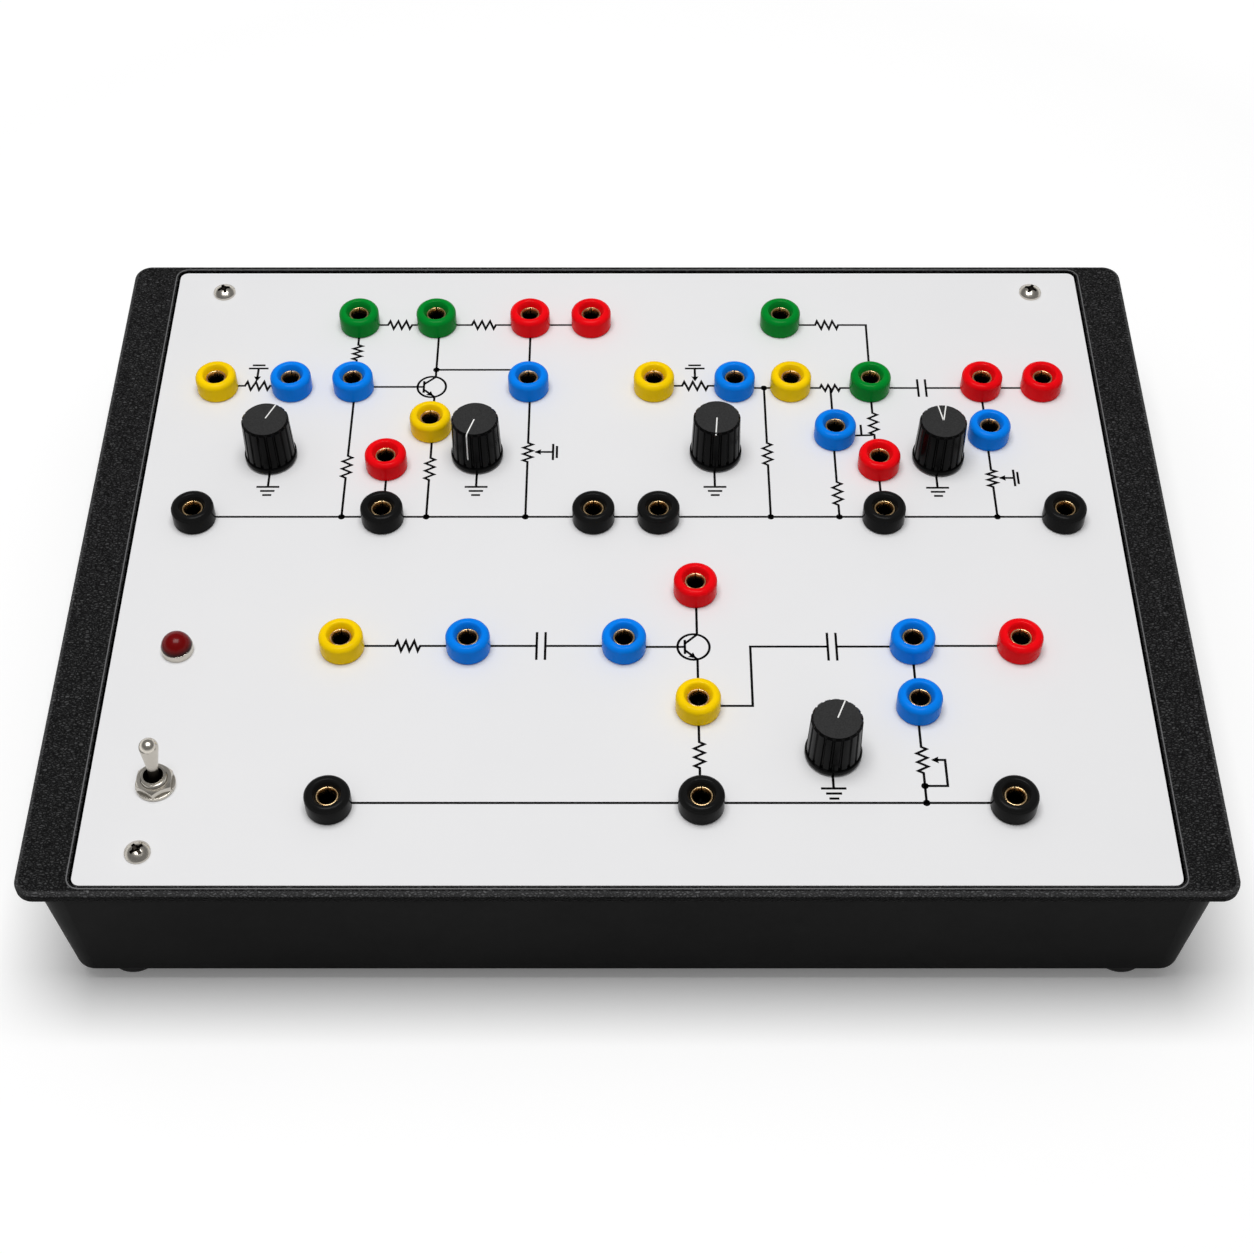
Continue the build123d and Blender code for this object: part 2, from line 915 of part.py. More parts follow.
def make_filter_capacitor():
    """Round smoothing capacitor standing on the board."""
    with BuildPart() as capacitor:
        with BuildSketch(at_height(post_top + board_thickness)):
            with Locations(capacitor_place):
                Circle(capacitor_radius)
        extrude(amount=capacitor_height)
        chamfer(capacitor.edges().group_by(Axis.Z)[-1], length=capacitor_edge)
    return capacitor


def make_controls():
    """Knob and shaft of each control, turned as its pointer faces, and what they stand in."""
    knob = make_knob()
    shaft = make_pot_shaft()
    for number, (place, angle) in enumerate(zip(knob_places, pointer_angles), start=1):
        save(placed(knob.part, place, angle), f"control_knob_{number}")
        save(placed(shaft.part, place, angle), f"pot_shaft_{number}")
    housing = make_pot_housing()
    nut = make_nut(pot_nut_flats, pot_nut_height, bushing_radius + nut_clearance, panel_top)
    save(copies(housing.part, knob_places), "pot_housings")
    save(copies(nut.part, knob_places), "pot_nuts")


def make_sockets():
    """Coloured socket heads, one group a colour, and the brass sleeves inside them."""
    head = make_socket_head()
    save(copies(head.part, red_places), "socket_heads_red")
    save(copies(head.part, yellow_places), "socket_heads_yellow")
    save(copies(head.part, blue_places), "socket_heads_blue")
    save(copies(head.part, green_places), "socket_heads_green")
    save(copies(head.part, black_places), "socket_heads_black")
    save(copies(make_socket_contact().part, socket_places), "socket_contacts")


def make_switch():
    """Toggle switch with its washer and nut on the panel."""
    seat = panel_top + washer_thickness
    hole = switch_bushing_radius + nut_clearance
    washer = make_ring(washer_radius, hole, panel_top, washer_thickness)
    nut = make_nut(switch_nut_flats, switch_nut_height, hole, seat, nut_chamfer)
    save(make_switch_body(), "switch_body")
    save(make_switch_bushing(), "switch_bushing")
    save(make_switch_lever(), "switch_lever")
    save(placed(washer.part, switch_place), "switch_washer")
    save(placed(nut.part, switch_place), "switch_nut")


def make_lamp():
    """Pilot lamp with its nut under the panel."""
    hole = lamp_barrel_radius + nut_clearance
    nut = make_nut(lamp_nut_flats, lamp_nut_height, hole, panel_bottom - lamp_nut_height)
    save(make_lamp_bezel(), "lamp_bezel")
    save(make_lamp_lens(), "lamp_lens")
    save(placed(nut.part, lamp_place), "lamp_nut")


def make_supply():
    """Transformer, board and capacitor on the floor of the tray, with their screws."""
    strap_screw = make_small_screw(floor_top + strap_thickness, strap_screw_length)
    board_screw = make_small_screw(post_top + board_thickness, board_screw_length)
    save(make_transformer_core(), "transformer_core")
    save(make_transformer_coil(), "transformer_coil")
    save(make_transformer_strap(), "transformer_strap")
    save(make_supply_board(), "supply_board")
    save(make_filter_capacitor(), "filter_capacitor")
    save(copies(strap_screw.part, strap_ears()), "strap_screws")
    save(copies(board_screw.part, board_corners()), "board_screws")


def make_tray_and_panel():
    """The tray on its feet, and the panel with its screws."""
    feet = [(i * foot_x, j * foot_y) for i in (-1, 1) for j in (-1, 1)]
    save(make_case_tray(), "case_tray")
    save(make_front_panel(), "front_panel")
    save(copies(make_foot().part, feet), "rubber_feet")
    save(copies(make_panel_screw().part, screw_places), "panel_screws")
    save(make_cord_grommet(), "cord_grommet")


os.makedirs("parts", exist_ok=True)
make_tray_and_panel()
make_sockets()
make_controls()
make_switch()
make_lamp()
make_supply()
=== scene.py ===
import json
import math

import bpy
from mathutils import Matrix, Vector


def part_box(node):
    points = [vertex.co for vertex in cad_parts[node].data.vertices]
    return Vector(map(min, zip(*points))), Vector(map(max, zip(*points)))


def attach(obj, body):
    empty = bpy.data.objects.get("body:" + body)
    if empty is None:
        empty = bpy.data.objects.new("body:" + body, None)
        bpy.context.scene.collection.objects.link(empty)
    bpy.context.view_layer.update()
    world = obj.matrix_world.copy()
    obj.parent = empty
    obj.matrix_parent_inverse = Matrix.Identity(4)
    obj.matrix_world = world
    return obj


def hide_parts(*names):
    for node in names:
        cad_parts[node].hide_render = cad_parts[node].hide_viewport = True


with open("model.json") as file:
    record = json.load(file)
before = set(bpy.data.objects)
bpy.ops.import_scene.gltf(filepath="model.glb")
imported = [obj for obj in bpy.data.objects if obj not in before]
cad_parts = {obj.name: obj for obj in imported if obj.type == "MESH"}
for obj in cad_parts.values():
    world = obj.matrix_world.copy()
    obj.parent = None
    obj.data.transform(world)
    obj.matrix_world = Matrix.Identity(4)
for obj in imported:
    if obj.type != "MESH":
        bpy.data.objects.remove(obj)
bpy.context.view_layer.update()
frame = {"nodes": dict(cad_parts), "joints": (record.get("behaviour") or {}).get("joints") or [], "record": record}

# The looks of a transistor amplifier trainer, in metres and degrees, in the frame of its packed
# solids: a black moulded tray closed by a pale panel with coloured plug sockets, printed
# circuits, fluted knobs, a toggle switch and a pilot lamp.

# Places taken from the frame
joint_places = {joint["name"]: Vector(joint["pos_m"]) for joint in frame["joints"]}
mounts = {mount["name"]: Vector(mount["pos_m"]) for mount in frame["record"]["mounts"]}
panel_low, panel_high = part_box("front_panel")
tray_low, tray_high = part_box("case_tray")
face = panel_high.z
tray_top = tray_high.z

# Used all over
mm = 0.001
fit_gap = 0.05 * mm
overcut = 1.0 * mm
near = 0.1 * mm
tiny = 0.01 * mm

# Sockets
head_radius = 0.0054
head_height = 0.0056
head_edge = 0.0013
head_foot = 0.0003
mouth_radius = 0.0035
mouth_edge = 0.0006
mouth_depth = 0.0014
head_bore = 0.0027
sleeve_radius = 0.00265
sleeve_lip = 0.00014
lead_in_radius = 0.0023
lead_in_depth = 0.0007
sleeve_length = 0.0179
slot_width = 0.0003
slot_depth = 0.004
plug_radius = 0.002
plug_depth = 0.017
clamp_corner = 0.0046
clamp_length = 0.012
# Depth below the sleeve's lip at which painted shade starts down the bore
bore_shade_depth = 0.0022

# Knobs, from the panel up
knob_lift = 0.0005
knob_rise = 0.0141
skirt_radius = 0.00675
skirt_height = 0.0015
skirt_edge = 0.0003
grip_radius_low = 0.0064
grip_radius_high = 0.00605
ring_height = 0.0006
disc_radius = 0.0055
disc_sink = 0.00004
flute_count = 18
steps_per_flute = 8
flute_depth = 0.00035
shaft_bore = 0.00302
bore_top = 0.0107
bore_bottom = 0.0029
nut_room = 0.0056
pointer_width = 0.00032
pointer_start = 0.0003
side_line_length = 0.0085
fork_angle = -21.0
dot_length = 0.0006
pointer_angles = (-25.0, 162.0, 176.0, 10.0, -22.0)

# Toggle switch
bushing_radius = 0.003
bushing_rise = 0.0041
bushing_mouth = 0.00235
thread_pitch = 0.0005
thread_depth = 0.00022
washer_radius = 0.0047
washer_height = 0.0009
washer_edge = 0.0002
nut_flats = 0.008
nut_height = 0.002
nut_edge = 0.0005
lever_tilt = 12.0
lever_length = 0.01145
lever_tip = 0.00225
lever_neck = 0.0013
lever_neck_height = 0.005
lever_ball = 0.0019
lever_tail = 0.0007
lever_tail_length = 0.0036

# Pilot lamp
bezel_radius = 0.0039
bezel_height = 0.002
bezel_foot = 0.0001
bezel_edge = 0.0003
barrel_radius = 0.003
barrel_length = 0.009
knurl_count = 40
knurl_depth = 0.00007
lens_radius = 0.00375
lens_rise = 0.0034
lens_stem_radius = 0.0023
lens_stem_length = 0.006

# Screws that hold the panel
screw_head_radius = 0.003
screw_head_height = 0.002
screw_head_edge = 0.0006
screw_radius = 0.0015
screw_length = 0.012
cross_arm = 0.0017
cross_width = 0.00085
cross_depth = 0.0012
pit_foot = 0.0005
pit_mouth = 0.00102
pit_depth = 0.00168
pit_rise = 0.0002
recess_lip = 0.00008
screw_turns = (20.0, 65.0, 40.0)
front_screw_shift = 0.001

# Tray
bead_radius = 0.00022
bead_inset = 0.00055
bead_sink = 0.00015
recess_gap = 0.0005
recess_corner = 0.0025
rim_height = 0.0029

# Camera, from the middle of the panel's face
camera_back = 0.35501
camera_height = 0.42094
camera_tilt = 38.0
camera_lens = 62.60
camera_shift = -0.00024

# Floor, whose glow grows from below the trainer outwards, and the lamp over it
floor_size = 12.0
floor_glow = 0.11
glow_start = 0.3
glow_end = 1.2
lamp_width = 0.75
lamp_depth = 0.6
lamp_power = 12.4
lamp_place = (-0.04, 0.02, 1.3)
lamp_turns = (-0.9, -1.8, 0.0)

# Printed circuits
ink_width = 0.0006
ink_height = 0.00005
ink_sink = 0.00001

# Signs of the printed circuits, in millimetres
dot_radius = 0.88
arrow_length = 1.8
arrow_half_width = 0.95
arrow_notch = 0.2


def pick_up(piece):
    """Make one piece the only one selected, and the active one."""
    bpy.ops.object.select_all(action="DESELECT")
    piece.select_set(True)
    bpy.context.view_layer.objects.active = piece


def named(piece, name):
    piece.name = name
    piece.data.name = name
    return piece


def settle(piece):
    """Put a piece's place and turn into its mesh, so that its object stands at the origin."""
    pick_up(piece)
    bpy.ops.object.transform_apply(location=True, rotation=True, scale=True)
    return piece


def smooth(piece, degrees=35.0):
    """Round shading over gentle edges and a clean break over sharp ones."""
    pick_up(piece)
    bpy.ops.object.shade_smooth_by_angle(angle=math.radians(degrees))
    return piece


def join(name, pieces):
    """One piece from several."""
    bpy.ops.object.select_all(action="DESELECT")
    for piece in pieces:
        piece.select_set(True)
    bpy.context.view_layer.objects.active = pieces[0]
    bpy.ops.object.join()
    return named(pieces[0], name)


def copy_at(piece, name, place, turn=0.0):
    """A copy of a piece with a mesh of its own, set down at a place on the panel."""
    copy = piece.copy()
    copy.data = piece.data.copy()
    bpy.context.scene.collection.objects.link(copy)
    named(copy, name)
    copy.location = (place[0], place[1], 0.0)
    copy.rotation_euler.z = turn
    return settle(copy)


def discard(*pieces):
    for piece in pieces:
        bpy.data.objects.remove(piece)


def arc(centre, radius, start, end, steps):
    """Points along part of a circle, with its angles in degrees."""
    turns = [math.radians(start + (end - start) * step / steps) for step in range(steps + 1)]
    return [(centre[0] + radius * math.cos(a), centre[1] + radius * math.sin(a)) for a in turns]


def dome(base, foot, rise, steps):
    """Points of a low dome, from its rim up to a last small ring round its top."""
    radius = (base**2 + rise**2) / (2 * rise)
    centre = foot + rise - radius
    start = math.degrees(math.atan2(foot - centre, base))
    return arc((0.0, centre), radius, start, 89.0, steps)


def eased(outline, steps=5):
    """An outline of (radius, height) or (radius, height, easing) corners, eased ones as arcs."""
    points = []
    for index, corner in enumerate(outline):
        here = Vector(corner[:2])
        if len(corner) < 3:
            points.append(tuple(here))
            continue
        ease = corner[2]
        before = (Vector(outline[index - 1][:2]) - here).normalized()
        after = (Vector(outline[(index + 1) % len(outline)][:2]) - here).normalized()
        half = before.angle(after) / 2
        middle = here + (before + after).normalized() * (ease / math.sin(half))
        first = here + before * (ease / math.tan(half)) - middle
        last = here + after * (ease / math.tan(half)) - middle
        for step in range(steps + 1):
            spoke = first.lerp(last, step / steps).normalized() * ease
            points.append(tuple(middle + spoke))
    return points


def turned(name, outline, sides=64, closed=True):
    """A round piece drawn up ring by ring along an outline of (radius, height) points.

    A closed one gets a face over its first and its last ring, and the other comes back to
    its first ring.
    """
    points = list(outline) if closed else [*outline, outline[0]]
    bpy.ops.object.select_all(action="DESELECT")
    radius, height = points[0]
    bpy.ops.mesh.primitive_circle_add(vertices=sides, radius=radius, location=(0, 0, height))
    piece = named(bpy.context.object, name)
    bpy.ops.object.mode_set(mode="EDIT")
    bpy.ops.mesh.select_all(action="SELECT")
    if closed:
        bpy.ops.mesh.duplicate()
        bpy.ops.mesh.edge_face_add()
        bpy.ops.mesh.select_all(action="INVERT")
    for (radius, height), (next_radius, next_height) in zip(points, points[1:]):
        bpy.ops.mesh.extrude_edges_move(
            TRANSFORM_OT_translate={"value": (0, 0, next_height - height)}
        )
        scale = next_radius / radius
        bpy.ops.transform.resize(value=(scale, scale, 1), center_override=(0, 0, next_height))
    if closed:
        bpy.ops.mesh.edge_face_add()
    bpy.ops.mesh.select_all(action="SELECT")
    bpy.ops.mesh.remove_doubles(threshold=1e-6)
    bpy.ops.mesh.normals_make_consistent(inside=False)
    bpy.ops.object.mode_set(mode="OBJECT")
    return settle(piece)


def draw_in(piece, scale, chosen):
    """Scale the chosen points of a piece towards the upright axis."""
    pick_up(piece)
    bpy.ops.object.mode_set(mode="EDIT")
    bpy.ops.mesh.select_mode(type="VERT")
    bpy.ops.mesh.select_all(action="DESELECT")
    bpy.ops.object.mode_set(mode="OBJECT")
    for point in piece.data.vertices:
        point.select = chosen(point.co)
    bpy.ops.object.mode_set(mode="EDIT")
    bpy.ops.transform.resize(value=(scale, scale, 1), center_override=(0, 0, 0))
    bpy.ops.object.mode_set(mode="OBJECT")
    return piece


def carve(piece, cutter, operation="DIFFERENCE"):
    """Cut one piece with another, or keep only what both hold."""
    pick_up(piece)
    modifier = piece.modifiers.new("carve", "BOOLEAN")
    modifier.operation = operation
    modifier.solver = "EXACT"
    modifier.object = cutter
    bpy.ops.object.modifier_apply(modifier=modifier.name)
    discard(cutter)
    return piece


def block(name, low, high):
    """A block between two corners."""
    bpy.ops.object.select_all(action="DESELECT")
    low, high = Vector(low), Vector(high)
    bpy.ops.mesh.primitive_cube_add(size=1, location=(low + high) / 2)
    piece = named(bpy.context.object, name)
    piece.scale = high - low
    return settle(piece)


def rounded_plate(name, low, high, corner, height, steps=8):
    """A flat face with rounded corners at one height."""
    bpy.ops.object.select_all(action="DESELECT")
    middle = (low + high) / 2
    bpy.ops.mesh.primitive_plane_add(size=1, location=(middle.x, middle.y, height))
    plate = named(bpy.context.object, name)
    plate.scale = (high.x - low.x, high.y - low.y, 1)
    settle(plate)
    bpy.ops.object.mode_set(mode="EDIT")
    bpy.ops.mesh.select_all(action="SELECT")
    bpy.ops.mesh.bevel(offset=corner, offset_type="OFFSET", segments=steps, affect="VERTICES")
    bpy.ops.object.mode_set(mode="OBJECT")
    return plate


def dress(piece, material):
    piece.data.materials.clear()
    piece.data.materials.append(material)


def fit_out(piece, body, material, node=None):
    """Say what a piece moves with, which finish it has and which solid it stands for."""
    dress(piece, material)
    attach(piece, body)
    if node:
        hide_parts(node)


def paint_recess_shade(piece, chosen):
    """Give the faces whose middles are chosen painted shade: a dark metal colour that stands for the shade down in
    a recess.
    """
    piece.data.materials.append(finishes["recess_painted_shade"])
    for side in piece.data.polygons:
        if chosen(side.center):
            side.material_index = 1


# Sockets


def make_head():
    """Moulded collar of a socket with a rounded top edge and a sloped mouth."""
    top = face + head_height
    outline = eased(
        [
            (head_bore, face),
            (head_radius - head_foot, face),
            (head_radius, face + head_foot, head_foot),
            (head_radius, top, head_edge),
            (mouth_radius, top, mouth_edge),
            (head_bore, top - mouth_depth),
        ]
    )
    return smooth(turned("head", outline, closed=False))


def make_sleeve():
    """Sprung sleeve of a socket with its slot at the back, and the clamp behind the panel."""
    top = face + head_height - mouth_depth
    outline = eased(
        [
            (sleeve_radius, top - sleeve_length),
            (sleeve_radius, top, sleeve_lip),
            (lead_in_radius, top, sleeve_lip),
            (plug_radius, top - lead_in_depth),
            (plug_radius, top - plug_depth),
        ],
        steps=3,
    )
    sleeve = turned("sleeve", outline)
    slot_low = (-slot_width / 2, plug_radius / 2, top - slot_depth)
    slot_high = (slot_width / 2, sleeve_radius - sleeve_lip, top + slot_depth)
    carve(sleeve, block("slot", slot_low, slot_high))
    clamp_outline = [
        (plug_radius, panel_low.z - clamp_length),
        (clamp_corner, panel_low.z - clamp_length),
        (clamp_corner, panel_low.z),
        (plug_radius, panel_low.z),
    ]
    clamp = turned("clamp", clamp_outline, sides=6)
    carve(clamp, turned("bore", [(sleeve_radius, 0.0), (sleeve_radius, face)]))
    return smooth(join("sleeve", [sleeve, clamp]))


def make_sockets():
    head = make_head()
    sleeve = make_sleeve()
    brass = finishes["brass"]
    for name, place in mounts.items():
        if not name.startswith("socket"):
            continue
        ending = name.removeprefix("socket")
        colour = name.split("_")[1]
        slot = f"plastic_{colour}"
        own_head = copy_at(head, f"head{ending}", place)
        own_sleeve = copy_at(sleeve, f"sleeve{ending}", place)
        fit_out(own_head, "case", finishes[slot], f"socket_heads_{colour}")
        fit_out(own_sleeve, "case", brass, "socket_contacts")
    discard(head, sleeve)


# Knobs


def in_flute(point):
    """Whether a point of the grip lies in the floor of a flute."""
    turn = math.degrees(math.atan2(point.y, point.x)) % (360.0 / flute_count)
    step = turn * flute_count * steps_per_flute / 360.0
    height = point.z - face
    on_grip = skirt_height + knob_lift - tiny < height < knob_rise - ring_height + tiny
    outside = math.hypot(point.x, point.y) > disc_radius + near
    return on_grip and outside and round(step) % steps_per_flute in (0, 1)


def make_knob():
    """Hollow fluted knob with a flared skirt, a bevelled ring and a disc let into its top."""
    bottom = face + knob_lift
    top = face + knob_rise
    outline = eased(
        [
            (shaft_bore, face + bore_top),
            (shaft_bore, face + bore_bottom),
            (nut_room, face + bore_bottom),
            (nut_room, bottom),
            (skirt_radius, bottom, skirt_edge),
            (skirt_radius, bottom + skirt_height, skirt_edge),
            (grip_radius_low, bottom + skirt_height),
            (grip_radius_high, top - ring_height),
            (disc_radius, top),
            (disc_radius - disc_sink, top - disc_sink),
            (near, top - disc_sink),
        ],
        steps=3,
    )
    knob = turned("knob", outline, sides=flute_count * steps_per_flute)
    draw_in(knob, 1.0 - flute_depth / grip_radius_high, in_flute)
    return smooth(knob, 25.0)


def make_pointer(number):
    """White line let into a knob's disc, with what runs on over its ring and down its side."""
    half = pointer_width / 2
    top = face + knob_rise
    ring_foot = top - ring_height
    line = block("line", (-half, pointer_start, top - 5 * disc_sink), (half, disc_radius, top))
    if number == 2:
        outside = grip_radius_high + disc_sink
        over = block("over", (-half, disc_radius - half, ring_foot), (half, outside, top))
        scale = (disc_radius + disc_sink) / outside
        draw_in(over, scale, lambda point: point.z > ring_foot + half and point.y > disc_radius)
        foot = ring_foot - side_line_length
        down = block("down", (-half, disc_radius, foot), (half, outside, ring_foot))
        run = side_line_length / (knob_rise - ring_height - knob_lift - skirt_height)
        flare = 1.0 + run * (grip_radius_low / grip_radius_high - 1.0)
        draw_in(down, flare, lambda point: point.z < foot + half)
        return join("pointer", [line, over, down])
    if number == 3:
        high = (half, disc_radius + dot_length, top - dot_length / 2)
        return join("pointer", [line, block("dot", (-half, disc_radius, ring_foot), high)])
    if number == 4:
        second = copy_at(line, "second", (0.0, 0.0), math.radians(fork_angle))
        return join("pointer", [line, second])
    return line


def make_knobs():
    knob = make_knob()
    for number, angle in enumerate(pointer_angles, start=1):
        body = f"knob_{number}"
        place = joint_places[f"knob_{number}_turn"]
        turn = math.radians(angle)
        own = copy_at(knob, f"fluted_knob_{number}", place, turn)
        fit_out(own, body, finishes["knob_black"], f"control_knob_{number}")
        pointer = make_pointer(number)
        own_pointer = copy_at(pointer, f"pointer_{number}", place, turn)
        dress(own_pointer, finishes["pointer_white"])
        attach(own_pointer, body)
        discard(pointer)
    discard(knob)


# Toggle switch


def make_bushing():
    """Threaded bushing of the switch, open at its mouth."""
    low = panel_low.z
    top = face + bushing_rise
    root = bushing_radius - thread_depth
    bore = lever_ball + fit_gap
    outline = [(bore, low), (root, low)]
    height = low + thread_pitch
    while height < top - 1.2 * thread_pitch:
        outline += [(root, height), (bushing_radius, height + thread_pitch / 2)]
        height += thread_pitch
    outline += [(root, top - thread_pitch / 2), (root, top)]
    outline += [(bushing_mouth, top), (bore, top - lever_ball)]
    return smooth(turned("bushing", outline, closed=False), 50.0)


def make_switch_nut():
    """Hexagon nut with its upper corners turned down."""
    seat = face + washer_height
    corner = nut_flats / math.sqrt(3)
    top = seat + nut_height
    bore = bushing_radius + fit_gap
    nut = turned("nut", [(corner, seat), (corner, top)], sides=6)
    cone = eased([(corner, seat - overcut), (corner, top - nut_edge), (nut_flats / 2, top)])
    carve(nut, turned("corners", cone), "INTERSECT")
    passage = [(bore, seat - overcut), (bore, top - nut_edge), (bore * 1.1, top + overcut)]
    carve(nut, turned("bore", passage))
    return smooth(nut)


def make_lever():
    """Bat lever on its ball, upright."""
    outline = [
        (lever_tail, -lever_tail_length),
        (lever_tail, -lever_ball * 0.93),
        *arc((0.0, 0.0), lever_ball, -66.0, 46.0, 12),
        (lever_neck, lever_neck_height),
        *arc((0.0, lever_length), lever_tip, -8.0, 88.0, 12),
    ]
    return smooth(turned("lever", outline, sides=48), 40.0)


def make_switch():
    pivot = joint_places["switch_toggle"]
    nickel = finishes["nickel"]
    washer_outline = [
        (bushing_radius + fit_gap, face),
        (washer_radius, face, washer_edge),
        (washer_radius, face + washer_height, washer_edge),
        (bushing_radius + fit_gap, face + washer_height),
    ]
    washer = smooth(turned("washer", eased(washer_outline), closed=False))
    for node, piece in (
        ("switch_bushing", make_bushing()),
        ("switch_nut", make_switch_nut()),
        ("switch_washer", washer),
    ):
        own = copy_at(piece, f"own_{node}", pivot)
        fit_out(own, "case", nickel, node)
        discard(piece)
        # The inside of the bushing's mouth gets painted shade.
        if node == "switch_bushing":
            paint_recess_shade(own, lambda point: (point.xy - pivot.xy).length < bushing_mouth)
    lever = make_lever()
    lever.location = pivot
    lever.rotation_euler.x = -math.radians(lever_tilt)
    settle(lever)
    fit_out(named(lever, "bat_lever"), "lever", nickel, "switch_lever")
    mouth = face + bushing_rise
    # The lever below the bushing's mouth gets painted shade.
    paint_recess_shade(lever, lambda point: point.z < mouth)


# Pilot lamp


def make_lamp():
    low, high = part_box("lamp_bezel")
    place = (low + high) / 2
    top = face + bezel_height
    bore = lens_stem_radius + fit_gap
    bezel_outline = [
        (bore, face - barrel_length),
        (barrel_radius, face - barrel_length),
        (barrel_radius, face),
        (bezel_radius, face, bezel_foot),
        (bezel_radius, top, bezel_edge),
        (lens_radius, top),
        (bore, top),
    ]
    bezel = turned("bezel", eased(bezel_outline), sides=2 * knurl_count, closed=False)

    def on_knurl(point):
        step = round(math.degrees(math.atan2(point.y, point.x)) * knurl_count / 180.0)
        outside = math.hypot(point.x, point.y) > lens_radius + near
        return outside and face < point.z < top and step % 2 == 0

    draw_in(bezel, 1.0 - knurl_depth / bezel_radius, on_knurl)
    own_bezel = copy_at(smooth(bezel, 20.0), "knurled_bezel", place)
    lens_outline = [
        (lens_stem_radius, top - lens_stem_length),
        (lens_stem_radius, top),
        *dome(lens_radius, top, lens_rise, steps=16),
    ]
    lens = smooth(turned("lens", lens_outline), 50.0)
    own_lens = copy_at(lens, "domed_lens", place)
    fit_out(own_bezel, "case", finishes["nickel"], "lamp_bezel")
    fit_out(own_lens, "case", finishes["lens_red"], "lamp_lens")
    discard(bezel, lens)


# Screws that hold the panel


def make_screw():
    """Domed screw with a crossed recess and a tapered pit in its middle."""
    edge = face + screw_head_edge
    outline = [
        (screw_radius, face - screw_length),
        (screw_radius, face),
        (screw_head_radius, face),
        *dome(screw_head_radius, edge, screw_head_height - screw_head_edge, steps=12),
    ]
    screw = turned("screw", outline)
    top = face + screw_head_height
    for reach in ((cross_arm, cross_width / 2), (cross_width / 2, cross_arm)):
        low = (-reach[0], -reach[1], top - cross_depth)
        carve(screw, block("arm", low, (reach[0], reach[1], top + overcut)))
    pit = [(pit_foot, top - pit_depth), (pit_mouth, top + pit_rise)]
    carve(screw, turned("pit", pit, sides=24))
    return smooth(screw)


def in_recess(point, place):
    """Whether a point of a screw lies on the walls or the floor of its crossed recess."""
    reach = (point.xy - place).length
    slope = (screw_head_height - screw_head_edge) * (reach / screw_head_radius) ** 2
    below = face + screw_head_height - slope - point.z
    return reach < 1.1 * cross_arm and recess_lip < below < 2 * cross_depth


def screw_places():
    """Middles of the three screw heads, worked out from the box round all three."""
    low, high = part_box("panel_screws")
    left, right = low.x + screw_head_radius, high.x - screw_head_radius
    back, front = high.y - screw_head_radius, low.y + screw_head_radius
    return [(left, back), (right, back), (left + front_screw_shift, front)]


def make_screws():
    screw = make_screw()
    for number, (place, turn) in enumerate(zip(screw_places(), screw_turns), start=1):
        own = copy_at(screw, f"crossed_screw_{number}", place, math.radians(turn))
        fit_out(own, "case", finishes["nickel"], "panel_screws")
        # The walls and floor of the crossed recess get painted shade.
        paint_recess_shade(own, lambda point: in_recess(point, Vector(place)))
    discard(screw)


# Tray


def make_bead():
    """Fine raised line round the recess that takes the panel."""
    out = Vector((recess_gap + bead_inset, recess_gap + bead_inset, 0.0))
    corner = recess_corner + bead_inset
    bead = rounded_plate("bead", panel_low - out, panel_high + out, corner, tray_top - bead_sink)
    pick_up(bead)
    bpy.ops.object.mode_set(mode="EDIT")
    bpy.ops.mesh.select_all(action="SELECT")
    bpy.ops.mesh.delete(type="ONLY_FACE")
    bpy.ops.object.mode_set(mode="OBJECT")
    bpy.ops.object.convert(target="CURVE")
    bead = bpy.context.object
    bead.data.bevel_depth = bead_radius
    bead.data.bevel_resolution = 2
    bpy.ops.object.convert(target="MESH")
    bead = named(bpy.context.object, "recess_bead")
    # Its light grey colour is a painted highlight along the raised line.
    fit_out(smooth(bead, 60.0), "case", finishes["bead_painted_highlight"])


# Printed circuits: strokes and filled shapes, in millimetres from the middle of the panel


def resistor(start, end, first, last, half_width=1.5):
    """A straight line with a zigzag of six peaks between two places along it."""
    upright = abs(end[1] - start[1]) > abs(end[0] - start[0])
    axis = start[0] if upright else start[1]
    step = (last - first) / 6
    sides = (1, -1, 1, -1, 1, -1)
    peaks = [(first + (k + 0.5) * step, axis + side * half_width) for k, side in enumerate(sides)]
    body = [(first, axis), *peaks, (last, axis)]
    if upright:
        body = [(across, run) for run, across in body]
    return [start, *body, end]


def capacitor(start, end, middle, plate=6.5, gap=2.1):
    """A level line broken by two plates."""
    y = start[1]
    left, right = middle - gap / 2, middle + gap / 2
    plates = [[(x, y - plate / 2), (x, y + plate / 2)] for x in (left, right)]
    return [[start, (left, y)], [(right, y), end], *plates]


def ground(x, knob_y, bar_y):
    """An earth sign below a knob."""
    bars = [(5.9, bar_y), (3.7, bar_y - 1.4), (2.3, bar_y - 2.8)]
    strokes = [[(x - width / 2, y), (x + width / 2, y)] for width, y in bars]
    return [[(x, knob_y - 5.6), (x, bar_y)], *strokes]


def wiper_above(x, arrow_y):
    """A wiper that comes down on a resistor from two bars."""
    lower = arrow_y + 4.2
    upper = lower + 1.2
    return [
        [(x, arrow_y), (x, lower)],
        [(x - 2.65, lower), (x + 2.65, lower)],
        [(x - 1.7, upper), (x + 1.7, upper)],
    ]


def wiper_beside(arrow_x, bar_x, y):
    """A wiper that comes in from two bars on the right."""
    return [
        [(arrow_x, y), (bar_x, y)],
        [(bar_x, y - 2.85), (bar_x, y + 2.85)],
        [(bar_x + 1.0, y - 2.1), (bar_x + 1.0, y + 2.1)],
    ]


